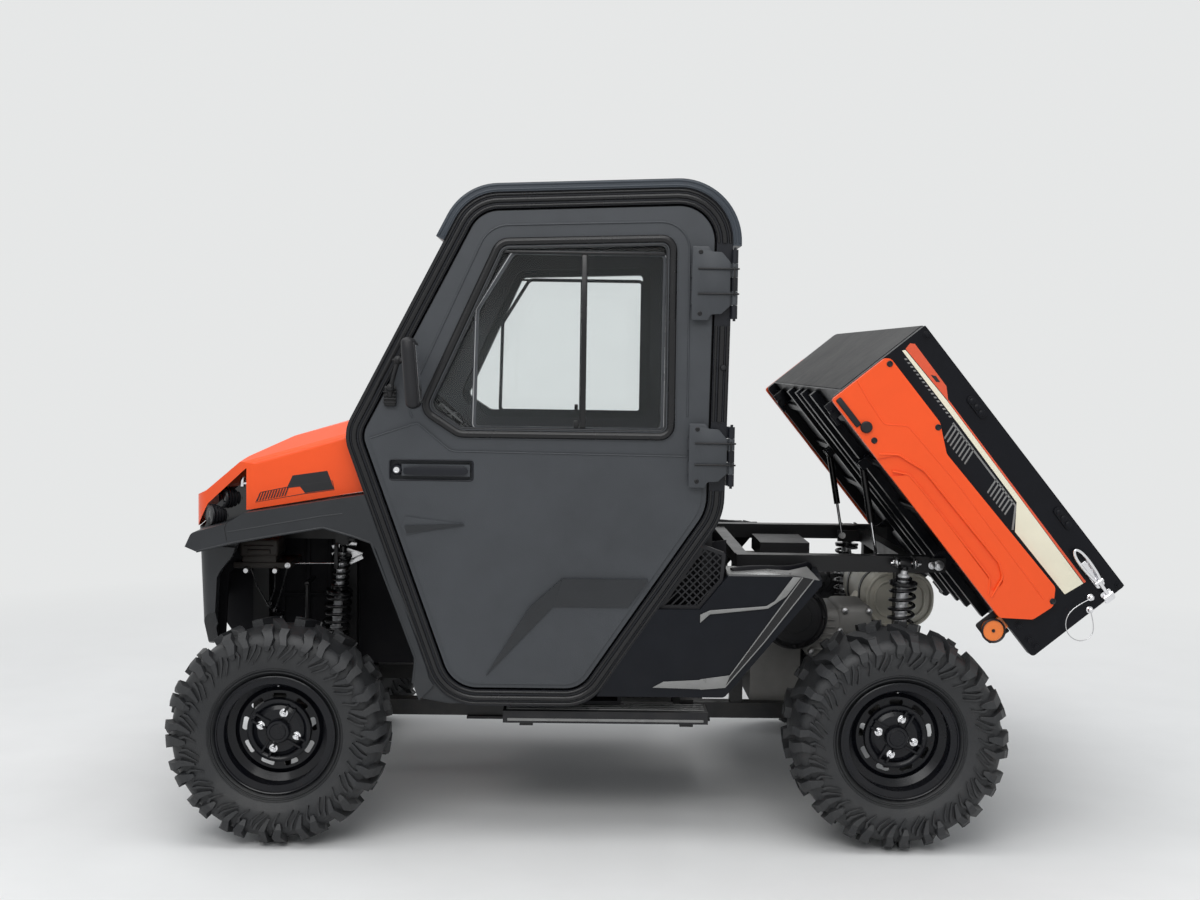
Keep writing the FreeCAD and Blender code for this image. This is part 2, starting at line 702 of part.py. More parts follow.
def leg_point(ball_y, ball_z, pivot_z, spread, x_shift):
    """A point on a wishbone's rear leg, at a distance behind the axle."""
    fork_y = ball_y + 95
    fork_z = ball_z + (pivot_z - ball_z) * 95 / (arm_pivot_y - ball_y)
    share = x_shift / spread
    return fork_y + (arm_pivot_y - fork_y) * share, fork_z + (pivot_z - fork_z) * share


def coilover_on_leg(label, axle_x, ball_y, ball_z, x_shift, top):
    """Spring from a wishbone's leg up to its mount."""
    y, z = leg_point(ball_y, ball_z, upper_pivot_z, 130, x_shift)
    foot = (axle_x + x_shift, y, z + 13 + 3)
    return build_coilover(label, top, foot)


front_coilover = coilover_on_leg(
    "coilover_front", size.front_axle_x, -size.kingpin_y,
    hub_z + size.ball_spread + size.ball_offset, 97, (tower_x, -398, tower_z - 43.8))
coilovers_front = both_sides("coilovers_front", front_coilover)
rear_mount_y = -size.upper_rail_y - size.rail_width / 2 - 21.9
rear_coilover = coilover_on_leg(
    "coilover_rear", rear_axle_x, -size.kingpin_y - 42, hub_z + size.ball_spread, 55,
    (rear_axle_x + 69, rear_mount_y, size.upper_rail_z + 32))
coilovers_rear = both_sides("coilovers_rear", rear_coilover)


# Drive train blocks

engine_top = 740
engine_block = block("engine_block", (engine_x - 81, engine_x + 81), (-250, 250), (rail_top, engine_top))
cvt_cover = place(revolved("cvt_cover", [(-250, 0), (-250, 100), (-320, 108, 10), (-350, 84, 8), (-350, 0)]),
                  engine_x + 47, 0, 608)
muffler_oval = [(0, -85, 70), (122, -85, 70), (122, 85, 70), (0, 85, 70)]
muffler = place(padded("muffler", "XZ", [muffler_oval], "340", "-170", False),
                rear_axle_x + 94, 0, muffler_z)
air_intake = block("air_intake", (engine_x - 13, engine_x + 157), (80, 330), (engine_top, "upper_rail_z + 22"))


# Cab

def door_outline():
    """Side view of the door, from the front corner round to the lower front."""
    rear = size.hinge_x - 56
    return [(-812, 1190, 60), (-482, 1828, 90), (rear, 1856, 100), (rear - 12, 985, 130),
            (-182, 463, 80), (-549, 463, 100)]


def window_outline():
    return [(76, 1770, 42), (78, 1187, 42), (-540, 1187, 60), (-655, 1262, 50), (-432, 1752, 50)]


DOOR = door_outline()
WINDOW = window_outline()
OPENING = offset_path(DOOR, size.door_gap)
REBATE = offset_path(DOOR, -16)
SLIDER = [(52, 1722, 20), (52, 1207, 20), (-503, 1207, 20), (-496, 1552, 30), (-392, 1722, 30)]
LOWER_SKIN = [(-793, 1182), (-656, 1226, 20), (-560, 1146, 40), (104, 1140, 20), (162, 1140),
              (158, 990, 110), (-190, 474, 70), (-540, 474, 90)]
RING = offset_path(DOOR, size.ring_width + size.door_gap)


def build_ring(label):
    """Door frame: a deep rim with a rebate behind the door."""
    body = new_body(label)
    inner_y = "cab_half_width - ring_depth"
    add_pad(body, label + "_rim", "XZ", [RING, OPENING], "ring_depth", inner_y)
    doc.recompute()
    lip = "ring_depth - door_thickness - door_gap"
    add_pad(body, label + "_rebate", "XZ", [offset_path(DOOR, size.door_gap + 4), REBATE], lip, inner_y)
    return body


ring_left_body = build_ring("cab_ring_left_rim")


def hinge_levels():
    """Low and high ends of the frame's hinge barrels, and of the door's."""
    levels = []
    for low, high in ((1534, 1730), (1057, 1228)):
        step = (high - low) / 5
        for index in range(5):
            levels.append((index % 2 == 1, low + index * step + 0.5, low + (index + 1) * step - 0.5))
    return levels


def build_frame_hinges():
    parts = []
    x, y = size.hinge_x, -size.hinge_y
    outer = -size.cab_half_width
    for index, (on_door, low, high) in enumerate(hinge_levels()):
        if on_door:
            continue
        name = "frame_hinge_%d" % index
        barrel = rod(name + "_barrel", (x, y, low), (x, y, high), 9)
        leaf = block(name + "_leaf", (x - 3, x + 3), (y, outer + 20), (low, high))
        foot = block(name + "_foot", (x - 12, x + 3), (outer, outer + 20), (low, high))
        parts += [barrel, leaf, foot]
    for index, (low, high) in enumerate(((1528, 1736), (1051, 1234))):
        parts.append(rod("hinge_pin_%d" % index, (x, y, low), (x, y, high), size.hinge_pin_radius))
    return parts


cab_ring_left = fuse("cab_ring_left", [ring_left_body] + build_frame_hinges())
cab_ring_right = flip("cab_ring_right", cab_ring_left)


def build_door(label):
    """Door skin with its window, pressed bands, handle and hinge straps."""
    inner_y = "cab_half_width - door_thickness - 2"
    outer = size.cab_half_width - 2
    body = new_body(label + "_panel")
    add_pad(body, label + "_panel_pad", "XZ", [DOOR, WINDOW], "door_thickness", inner_y)
    doc.recompute()
    wedge = [(-452, 500), (-262, 702), (-46, 702), (10, 784), (-236, 784, 20), (-330, 700, 40)]
    swage = [(-700, 930), (-686, 905), (-520, 938), (-686, 958)]
    add_pad(body, label + "_swell", "XZ", [LOWER_SKIN], "door_swell", str(outer))
    doc.recompute()
    add_pad(body, label + "_bands", "XZ", [wedge, swage], "5", "%s + door_swell - 1" % outer)
    doc.recompute()
    recess = [(-734, 1062, 8), (-734, 1120, 8), (-496, 1120, 8), (-496, 1062, 8)]
    add_pocket(body, label + "_handle_cup", "XZ", [recess], "16 + door_swell", "%s + door_swell" % outer)
    bar = block(label + "_handle", (-700, -505), (-outer - 4, -outer + 17), (1074, 1108))
    frame_inner = outer - size.glass_recess
    gasket = padded(label + "_gasket", "XZ", [offset_path(WINDOW, 5), offset_path(WINDOW, -size.gasket_width)],
                    str(size.glass_recess + 3), str(frame_inner))
    slider = padded(label + "_slider", "XZ", [SLIDER, offset_path(SLIDER, -size.slider_bar)],
                    str(size.glass_recess - 8), str(frame_inner))
    mullion = block(label + "_mullion", (-192, -176), (-outer + 8, -frame_inner), (1214, 1712))
    parts = [body, bar, gasket, slider, mullion]
    x, y = size.hinge_x, -size.hinge_y
    for index, (on_door, low, high) in enumerate(hinge_levels()):
        if on_door:
            name = label + "_strap_%d" % index
            parts.append(rod(name + "_barrel", (x, y, low), (x, y, high), 9))
            parts.append(block(name, (118, x - 6), (y + 2, -size.cab_half_width - 1), (low, high)))
            parts.append(block(name + "_foot", (118, DOOR[2][0] - 14), (y + 2, -outer + 1), (low, high)))
    solid = fuse(label + "_solid", parts)
    bores = [rod(label + "_bore_%d" % index, (x, y, low), (x, y, high),
                 size.hinge_pin_radius + size.running_fit)
             for index, (low, high) in enumerate(((1520, 1760), (1040, 1250)))]
    return cut(label, solid, fuse(label + "_bores", bores))


door_left = build_door("door_left")
door_right = flip("door_right", door_left)
GLASS = offset_path(WINDOW, -size.seat_gap)
door_glass_left = padded("door_glass_left", "XZ", [GLASS], "glass_thickness", "cab_half_width - 36")
door_glass_right = flip("door_glass_right", door_glass_left)


def build_mirror(label):
    """Arm from the door's front corner and a tall rounded head."""
    outer = size.cab_half_width - 2
    foot = block(label + "_foot", (-702, -676), (-outer - 12, -outer - 0.3), (1290, 1370))
    arm = rod(label + "_arm", (-689, -outer - 10, 1336), (-662, -outer - 84, 1372), 9)
    head = padded(label + "_head", "YZ", [[(-outer - 165, 1268, 40), (-outer - 60, 1268, 30),
                                           (-outer - 66, 1470, 40), (-outer - 150, 1470, 40)]], "44", "-684")
    return fuse(label, [foot, arm, head])


mirror_left = build_mirror("mirror_left")
mirror_right = flip("mirror_right", mirror_left)

def on_line(start, end, z):
    """The point of a line at a height."""
    share = (z - start[1]) / (end[1] - start[1])
    return (start[0] + (end[0] - start[0]) * share, z)


ROOF_SEAT = [on_line(RING[0], RING[1], 1745), RING[1], RING[2], on_line(RING[2], RING[3], 1742)]
roof_inner = offset_path(ROOF_SEAT, size.seat_gap, closed=False)
roof_outer = offset_path(ROOF_SEAT, size.seat_gap + size.roof_thickness, closed=False)
roof = padded("roof", "XZ", [roof_outer + list(reversed(roof_inner))], "2 * cab_half_width + 16", middle=True)


def pillar_x(z, inset):
    """Place of the front pillar's outer edge, moved back by an inset."""
    return on_line(RING[0], RING[1], z)[0] + inset


def slant_panel(label, low_z, high_z, inset, thickness):
    outline = [(pillar_x(low_z, inset), low_z), (pillar_x(high_z, inset), high_z),
               (pillar_x(high_z, inset + thickness), high_z), (pillar_x(low_z, inset + thickness), low_z)]
    return padded(label, "XZ", [outline], "2 * cab_inner", middle=True)


windscreen = slant_panel("windscreen", 1195, 1830, 14, 7)

floor_z = size.floor_z
FOOTWELL = [(-552, floor_z), (-60, floor_z), (-60, 640), (170, 640), (170, 650), (-70, 650),
            (-70, floor_z + 10), (-545, floor_z + 10), (-832, 1140), (-842, 1140)]
cab_floor_solid = padded("cab_floor_solid", "XZ", [FOOTWELL], "2 * cab_inner", middle=True)
rear_wall_top = 1180
REAR_WALL = [(170.3, 640), (200, 640), (200, rear_wall_top), (170.3, rear_wall_top)]
rear_wall = padded("rear_wall", "XZ", [REAR_WALL], "2 * cab_inner", middle=True)
REAR_GLASS = [(180, rear_wall_top + size.seat_gap), (187, rear_wall_top + size.seat_gap), (187, 1860), (180, 1860)]
rear_glass = padded("rear_glass", "XZ", [REAR_GLASS], "2 * cab_inner", middle=True)
DASH = [(-826, 1140.3), (-640, 1000, 30), (-590, 1080, 30), (-640, 1170, 40), (-826, 1190, 10)]
dashboard_solid = padded("dashboard_solid", "XZ", [DASH], "2 * cab_inner", middle=True)
CUSHION = [(-360, 650.3), (120, 650.3), (120, 760, 30), (-340, 800, 50)]
seat_cushion = padded("seat_cushion", "XZ", [CUSHION], "1180", middle=True)
BACK = [(20, 782, 20), (125, 765), (170, 780), (170, 1212, 30), (112, 1212, 40)]
seat_back = padded("seat_back", "XZ", [BACK], "1180", middle=True)


# Steering wheel and column

wheel_y = -330
column_top = (-602, wheel_y, 1232)
column_foot = (-842, wheel_y, 968)
column_way = (V(*column_top) - V(*column_foot)).normalize()


def along(start, distance):
    point = V(*start) + column_way * distance
    return (point.x, point.y, point.z)


def build_steering_wheel(label):
    grip = doc.addObject("Part::Torus", label + "_grip")
    grip.Radius1 = 168
    grip.Radius2 = 14
    grip.Placement = FreeCAD.Placement(V(*column_top), FreeCAD.Rotation(V(0, 0, 1), column_way))
    pad_low, pad_high = along(column_top, -16), along(column_top, 12)
    pad = rod(label + "_hub", pad_low, pad_high, 46)
    side = V(0, 1, 0)
    up = column_way.cross(side)
    spokes = []
    for index, angle in enumerate((0, 180, 270)):
        way = side * math.cos(math.radians(angle)) + up * math.sin(math.radians(angle))
        end = V(*column_top) + way * 166
        spokes.append(beam(label + "_spoke_%d" % index, column_top, (end.x, end.y, end.z), 26, 10))
    boss = rod(label + "_boss", along(column_top, -60), pad_low, 16)
    return fuse(label, [grip, pad, boss] + spokes)


steering_wheel = build_steering_wheel("steering_wheel")
steering_column = rod("steering_column", column_foot, along(column_top, -60.5), 24)
column_hole = rod("column_hole", along(column_foot, -60), along(column_top, 0), 24 + size.seat_gap)
dashboard = cut("dashboard", dashboard_solid, column_hole)
cab_floor = cut("cab_floor", cab_floor_solid, column_hole)


# Tie rods

def build_tie_rods(label):
    """Rack bar with a ball eye above each steering arm."""
    x = size.front_axle_x + size.steer_arm
    z = rack_z
    bar = rod(label + "_bar", (x, -size.kingpin_y + 18, z), (x, size.kingpin_y - 18, z), 9)
    eyes = [rod(label + "_eye_%d" % index, (x, side * size.kingpin_y, z - 7), (x, side * size.kingpin_y, z + 7), 20)
            for index, side in enumerate((-1, 1))]
    return fuse(label, [bar] + eyes)


rack_x = size.front_axle_x + size.steer_arm
rack_z = hub_z + steer_eye_low + 14 + 1 + 7
tie_rods = build_tie_rods("tie_rods")
rack_block = block("rack_block", (rack_x - 20, rack_x + 26), (-170, 170), (rail_top, rack_z + 26))
rack_housing = cut("rack_housing", rack_block,
                   rod("rack_bore", (rack_x, -200, rack_z), (rack_x, 200, rack_z), 9 + size.running_fit))


# Front body

RING_EDGE = offset_path(RING, size.seat_gap)
edge_low, edge_high = RING_EDGE[4], RING_EDGE[3]
front_low, front_high = RING_EDGE[5], RING_EDGE[0]


def slanted_pad(label, plane, outline, length, offset, way):
    """A pad along a given direction, for a form that leans."""
    body = padded(label, plane, [outline], length, offset)
    body.Tip.UseCustomVector = True
    body.Tip.Direction = V(*way)
    return body


def three_views(label, side, plan, front):
    """The solid that has a given outline from the side, from above and, at the cab, from the front."""
    slope = slanted_pad(label + "_front", "YZ", front, "800", "-800", (-1, 0, -size.hood_slope))
    views = [padded(label + "_side", "XZ", [side], "1600", middle=True),
             padded(label + "_plan", "XY", [plan], "1400", "300"), slope]
    return common(label, views)


def build_hood(label):
    side = [(-1420, 900.3), (-1406, 960), (-1296, 1010, 60), (-1160, 1116, 80), (-1036, 1176, 60),
            (-870, 1226), (-870, 1190), on_line(front_low, front_high, 1120),
            on_line(front_low, front_high, 1024), (-1164, 962), (-1166, 900.3)]
    plan = [(-800, -684), (-1150, -684, 80), (-1330, -560, 90), (-1400, 0, 900), (-1330, 560, 90),
            (-1150, 684, 80), (-800, 684)]
    front = [(-684, 700), (-684, 1205, 20), (-570, 1244, 40), (0, 1262, 900), (570, 1244, 40),
             (684, 1205, 20), (684, 700)]
    outer = three_views(label + "_outer", side, plan, front)
    wall = size.sheet_wall
    side_in = [(-1500, 700), (-1500, 905)] + [(p[0] + wall, p[1] - wall) + tuple(p[2:]) for p in side[1:6]]
    side_in += [(-700, 1224 - wall), (-700, 700)]
    inner = three_views(label + "_inner", side_in, offset_path(plan, -wall), offset_path(front, -wall))
    shell = cut(label + "_shell", outer, inner)
    pocket = padded(label + "_lamp_pocket", "XZ", [LAMP_POCKET], "300", "504")
    return cut(label, shell, both_sides(label + "_lamp_pockets", pocket))


LAMP_POCKET = [(-1156, 1086), (-1290, 972), (-1336, 890), (-1156, 890)]
hood = build_hood("hood")


def build_fender(label):
    """Arch band with a slim guard along the door frame, and a liner sheet over the wheel."""
    seam_high = on_line(front_low, front_high, 1018)
    seam_low = on_line(front_low, front_high, 520)
    arch = [(-1318, 862), (-1300, 902, 20), (-1198, 930, 40), (-1152, 960, 30), seam_high, seam_low,
            (-618, 490), (-604, 468), (-646, 424), (-663, 470, 20), (-655, 545, 30), (-781, 885, 60),
            (-836, 896, 30), (-924, 922, 40), (-1087, 892, 40), (-1178, 875), (-1285, 848)]
    body = new_body(label)
    add_pad(body, label + "_band", "XZ", [arch], "fender_depth", "fender_inner_y")
    doc.recompute()
    hollow = [(-1262, 800), (-1250, 868), (-1178, 888, 20), (-1087, 906, 30), (-930, 936, 30), (-862, 916, 30),
              (-836, 860)]
    add_pocket(body, label + "_hollow", "XZ", [hollow], "fender_depth - sheet_wall * 2",
               "fender_inner_y + fender_depth - sheet_wall * 2")
    return body


front_fenders = both_sides("front_fenders", build_fender("front_fender"))


def build_mask(label):
    """Front face with louvres between two slim legs that draw in below, clear of the steered tyres."""
    wide = size.mask_half_width
    side = [(-1440, 560, 40), (-1440, 900), (-1290, 900), (-1193, 868), (-1211, 821, 20), (-1250, 774, 20),
            (-1262, 752), (-1276, 540, 10), (-1312, 524)]
    plan = [(-1150, -wide), (-1304, -575, 50), (-1380, 0, 900), (-1304, 575, 50), (-1150, wide),
            (-1150, wide - 36), (-1276, 545, 50), (-1348, 0, 900), (-1276, -545, 50), (-1150, 36 - wide)]
    front_half = [(600, 900), (600, 845), (wide, 845), (wide - 4, 690), (470, 535), (440, 524), (400, 524),
                  (360, 640, 40)]
    front = front_half + [(-y,) + tuple(rest) for y, *rest in reversed(front_half)]
    shell = common(label + "_shell", [
        padded(label + "_side", "XZ", [side], "1600", middle=True),
        slanted_pad(label + "_plan", "XY", plan, "400", "500", (-size.mask_lean, 0, 1)),
        padded(label + "_front", "YZ", [front], "600", "-1500")])
    louvres = [block("%s_louvre_%d" % (label, index), (-1500, -1200), (-300, 300), (z, z + 22))
               for index, z in enumerate((690, 734, 778, 822))]
    return cut(label, shell, fuse(label + "_louvres", louvres))


front_mask = build_mask("front_mask")


LAMP_HOUSING = [(-1157, 1060), (-1272, 962), (-1300, 900.3), (-1157, 900.3)]


def build_lamps(label):
    """Housing in the hood's corner pocket with two stacked round lamps."""
    housing = padded(label + "_housing", "XZ", [LAMP_HOUSING], "90", "504.5")
    parts = [housing]
    for index, (x, z) in enumerate(((-1262, 938), (-1222, 990))):
        parts.append(rod(label + "_%d" % index, (x - 16, -600, z), (x + 24, -560, z), 27))
    return fuse(label, parts)


lamps = both_sides("lamps", build_lamps("lamp"))


# Side panels

SIDE_PANEL = [on_line(edge_low, edge_high, 440), on_line(edge_low, edge_high, 696), (163, 696), (243, 796, 10),
              (420, 796, 10), (524, 784, 10), (238, 440, 20)]


def build_side_panel(label):
    body = new_body(label)
    add_pad(body, label + "_flank", "XZ", [SIDE_PANEL], "35", "cab_half_width - 37")
    doc.recompute()
    shelf = [(246, -702), (520, -702), (546, -445.3), (262, -445.3)]
    sketch = add_sketch(body, label + "_shelf_outline", "XY", [shelf])
    sketch.AttachmentOffset = FreeCAD.Placement(V(0, 0, 762), FreeCAD.Rotation())
    pad = body.newObject("PartDesign::Pad", label + "_shelf")
    pad.Profile = sketch
    pad.Length = 22
    body.Tip = pad
    return body


side_panels = both_sides("side_panels", build_side_panel("side_panel"))
VENT = [on_line(edge_low, edge_high, 696.3), (162, 696.3), (229, 780), (236, 860, 12),
        on_line(edge_low, edge_high, 884)]


def build_vent(label):
    """Vent frame filled with a mesh of crossing bars."""
    frame = padded(label + "_frame", "XZ", [VENT, offset_path(VENT, 10)], "18", "cab_half_width - 37")
    bars = []
    middle_x, middle_z = 165, 790
    for index in range(-5, 6):
        for name, way in (("up", 1), ("down", -1)):
            shift = index * 22
            start = (middle_x + shift - 120, -size.cab_half_width + 27, middle_z - way * 120)
            end = (middle_x + shift + 120, -size.cab_half_width + 27, middle_z + way * 120)
            bars.append(beam("%s_bar_%s_%d" % (label, name, index + 5), start, end, 10, size.grille_bar))
    trim = padded(label + "_trim", "XZ", [offset_path(VENT, 4)], "18", "cab_half_width - 37")
    mesh = common(label + "_mesh", [fuse(label + "_bars", bars), trim])
    return fuse(label, [frame, mesh])


vent_grilles = both_sides("vent_grilles", build_vent("vent"))


# Belly pan and steps

belly = block("belly_sheet", (-540, 240), ("0 - belly_half_width", "belly_half_width"),
              ("rail_z - 8", "rail_z"))
steps = [block("step_%d" % index, (-405, 195), sorted((side * 600, side * 704)), (352, 387))
         for index, side in enumerate((-1, 1))]
belly_pan = group("belly_pan", [belly] + steps)


# Tipping bed

def build_bed_half_side(label):
    """Double steel side with a folded top rail."""
    rear = size.bed_front_x + size.bed_length
    outline = [(size.bed_front_x, size.bed_bottom_z, 12), (rear, size.bed_bottom_z, 12),
               (rear, size.bed_top_z, 8), (size.bed_front_x, size.bed_top_z, 8)]
    return padded(label, "XZ", [outline], "bed_side_box", "bed_half_width - bed_side_box")


gate_x = size.bed_front_x + size.bed_length - 13
gate_z = size.bed_floor_z - 12


strut_top = (size.bed_pivot_x - 217, size.bed_pivot_z + 303)
strut_foot = (size.bed_pivot_x - 164, size.bed_pivot_z + 1)


def lowered(x, z):
    """Where a point of the raised bed lies when the bed is down."""
    pivot = V(size.bed_pivot_x, 0, size.bed_pivot_z)
    turn = FreeCAD.Rotation(V(0, 1, 0), -size.bed_raise)
    return turn.multVec(V(x, 0, z) - pivot) + pivot


def build_bed_tub():
    strut_pin = lowered(*strut_top)
    rear = size.bed_front_x + size.bed_length
    inner = size.bed_half_width - size.bed_side_box
    side = build_bed_half_side("bed_side_left")
    side_right = flip("bed_side_right", side)
    floor = block("bed_floor", ("bed_front_x", rear - 33), (-inner, inner),
                  ("bed_floor_z", "bed_floor_z + bed_sheet"))
    front = block("bed_front", ("bed_front_x", "bed_front_x + 24"), (-inner, inner),
                  ("bed_floor_z", "bed_top_z"))
    ribs = [block("bed_rib_%d" % index, (size.bed_front_x + 10, rear - 40), (y - 16, y + 16),
                  (size.bed_bottom_z + 8, "bed_floor_z"))
            for index, y in enumerate((-245, 245, -60, 60))]
    ears = []
    for index, side_sign in enumerate((-1, 1)):
        y = sorted((side_sign * (size.upper_rail_y - 7), side_sign * (size.upper_rail_y + 7)))
        x, z = size.bed_pivot_x, size.bed_pivot_z
        plate = block("bed_ear_%d" % index, (x - 26, x + 26), y, (z, "bed_floor_z"))
        eye = rod("bed_eye_%d" % index, (x, y[0], z), (x, y[1], z), 26)
        ears += [plate, eye]
        for name, shift in (("in", -24), ("out", 16)):
            ends = sorted((side_sign * (size.strut_y + shift), side_sign * (size.strut_y + shift + 8)))
            ears.append(block("bed_strut_ear_%s_%d" % (name, index), (strut_pin.x - 15, strut_pin.x + 15), ends,
                              (strut_pin.z - 14, "bed_floor_z")))
        ends = (side_sign * (size.strut_y - 20), side_sign * (size.strut_y + 20))
        ears.append(rod("bed_strut_pin_%d" % index, (strut_pin.x, ends[0], strut_pin.z),
                        (strut_pin.x, ends[1], strut_pin.z), 6))
        ends = sorted((side_sign * 345.5, side_sign * 357))
        ears.append(block("bed_gate_ear_%d" % index, (rear - 60, gate_x), ends, (gate_z - 10, "bed_floor_z")))
        ears.append(rod("bed_gate_eye_%d" % index, (gate_x, ends[0], gate_z), (gate_x, ends[1], gate_z), 13))
        ears.append(rod("bed_gate_pin_%d" % index, (gate_x, side_sign * 300, gate_z),
                        (gate_x, side_sign * 350, gate_z), 6))
    solid = fuse("bed_solid", [side, side_right, floor, front] + ribs + ears)
    bore = rod("bed_pivot_bore", (size.bed_pivot_x, -600, size.bed_pivot_z),
               (size.bed_pivot_x, 600, size.bed_pivot_z), size.pivot_pin_radius + size.running_fit)
    return raise_bed(cut("bed_tub", solid, bore))


bed_tub = build_bed_tub()
bed_rear_x = size.bed_front_x + size.bed_length
bed_low = size.bed_bottom_z
front_x = size.bed_front_x
BED_PANEL = [(front_x + 1, bed_low - 6, 10), (front_x + 1, bed_low + 200, 20), (front_x + 245, bed_low + 200, 30),
             (front_x + 329, bed_low + 160, 30), (bed_rear_x - 129, bed_low + 174, 20),
             (bed_rear_x - 88, bed_low + 136, 20), (bed_rear_x - 94, bed_low + 66, 20),
             (bed_rear_x - 159, bed_low - 8, 20)]
BED_GROOVE = [(front_x + 209, bed_low - 20), (front_x + 245, bed_low + 49, 25), (front_x + 328, bed_low + 81, 25),
              (bed_rear_x - 287, bed_low + 89, 20), (bed_rear_x - 234, bed_low + 64, 15),
              (bed_rear_x - 227, bed_low + 12, 10), (bed_rear_x - 261, bed_low + 36, 10),
              (front_x + 382, bed_low + 41, 20), (front_x + 309, bed_low + 36, 20), (front_x + 272, bed_low - 20)]


def build_bed_panel(label):
    """Moulded side panel with the groove that follows its lower edge."""
    body = new_body(label)
    add_pad(body, label + "_plate", "XZ", [BED_PANEL], "bed_panel_thickness", "bed_half_width")
    doc.recompute()
    add_pocket(body, label + "_groove", "XZ", [BED_GROOVE], "bed_panel_groove",
               "bed_half_width + bed_panel_thickness")
    return raise_bed(group(label + "_raised", [body]))


bed_side_panels = both_sides("bed_side_panels", build_bed_panel("bed_panel"))


def build_tailgate(label):
    """Rear panel with two lugs round the hinge pins."""
    rear = size.bed_front_x + size.bed_length
    half = size.bed_half_width - size.bed_side_box - 6
    parts = [block(label + "_panel", (rear - 26, rear - 1), (-half, half), (gate_z + 24, "bed_top_z"))]
    for index, side in enumerate((-1, 1)):
        ends = sorted((side * 305, side * 344.5))
        parts.append(block(label + "_lug_%d" % index, (rear - 26, rear - 1), ends, (gate_z, gate_z + 30)))
        parts.append(rod(label + "_eye_%d" % index, (gate_x, ends[0], gate_z), (gate_x, ends[1], gate_z), 12.5))
    bore = rod(label + "_bore", (gate_x, -400, gate_z), (gate_x, 400, gate_z), 6 + size.running_fit)
    return raise_bed(cut(label, fuse(label + "_solid", parts), bore))


tailgate = build_tailgate("tailgate")


def build_reflector(label):
    x, z = bed_rear_x - 132, size.bed_bottom_z - 42
    stem = block(label + "_stem", (x - 20, x + 20), (-706, -696), (z, size.bed_bottom_z))
    disc = rod(label + "_disc", (x, -712, z), (x, -690, z), 30)
    return raise_bed(fuse(label, [stem, disc]))


tail_reflectors = both_sides("tail_reflectors", build_reflector("tail_reflector"))


def strut_point(share):
    x = strut_top[0] + (strut_foot[0] - strut_top[0]) * share
    z = strut_top[1] + (strut_foot[1] - strut_top[1]) * share
    return (x, -size.strut_y, z)


def build_struts():
    barrel = [rod("strut_barrel_tube", strut_point(0.03), strut_point(0.62), 11),
              rod("strut_barrel_eye", (strut_top[0], -size.strut_y - 8, strut_top[1]),
                  (strut_top[0], -size.strut_y + 8, strut_top[1]), 13)]
    bore = rod("strut_bore", strut_point(0.10), strut_point(0.7), 5 + size.running_fit)
    hole = rod("strut_eye_hole", (strut_top[0], -size.strut_y - 20, strut_top[1]),
               (strut_top[0], -size.strut_y + 20, strut_top[1]), 6 + size.running_fit)
    left = cut("strut_barrel", fuse("strut_barrel_solid", barrel), fuse("strut_barrel_bores", [bore, hole]))
    bar = rod("strut_rod_bar", strut_point(0.44), strut_point(0.97), 5)
    eye = rod("strut_rod_eye", (strut_foot[0], -size.strut_y - 8, strut_foot[1]),
              (strut_foot[0], -size.strut_y + 8, strut_foot[1]), 12)
    rods = fuse("strut_rod", [bar, eye])
    return both_sides("strut_barrels", left), both_sides("strut_rods", rods)


strut_barrels, strut_rods = build_struts()

NODES = [
    frame_rails, frame_crosses, frame_uprights, bed_rails, bed_crosses, belly_pan,
    engine_block, cvt_cover, muffler, air_intake, final_drives,
    suspension_arms_front, suspension_arms_rear, coilovers_front, coilovers_rear, drive_shafts,
    knuckle_left, knuckle_right, tie_rods, rack_housing,
    cab_ring_left, cab_ring_right, door_left, door_right, door_glass_left, door_glass_right,
    mirror_left, mirror_right, roof, windscreen, cab_floor, rear_wall, rear_glass, dashboard,
    seat_cushion, seat_back, steering_wheel, steering_column, hood, front_fenders, front_mask, lamps,
    side_panels, vent_grilles, bed_tub, bed_side_panels, tailgate, tail_reflectors,
    strut_barrels, strut_rods,
] + wheels


def export_parts():
    doc.recompute()
    failed = [item.Label for item in doc.Objects if "Invalid" in item.State or "Error" in item.State]
    if failed:
        raise RuntimeError("could not be built: " + ", ".join(failed))
    bad = [item.Label for item in NODES if item.Shape.isNull() or not item.Shape.isValid()]
    if bad:
        raise RuntimeError("bad shape: " + ", ".join(bad))
    os.makedirs("parts", exist_ok=True)
    for item in NODES:
        item.Shape.exportStep("parts/%s.step" % item.Label)


export_parts()
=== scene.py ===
import json
import math

import bmesh
import bpy
from mathutils import Matrix, Vector


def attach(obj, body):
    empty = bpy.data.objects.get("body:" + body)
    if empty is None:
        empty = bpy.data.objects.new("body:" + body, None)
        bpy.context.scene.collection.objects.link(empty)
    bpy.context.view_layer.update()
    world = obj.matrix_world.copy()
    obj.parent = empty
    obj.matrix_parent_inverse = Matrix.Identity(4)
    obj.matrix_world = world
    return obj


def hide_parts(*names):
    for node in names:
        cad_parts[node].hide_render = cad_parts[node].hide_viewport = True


# Looks of a side by side utility vehicle. Metres. The vehicle faces -X and its left side is -Y.

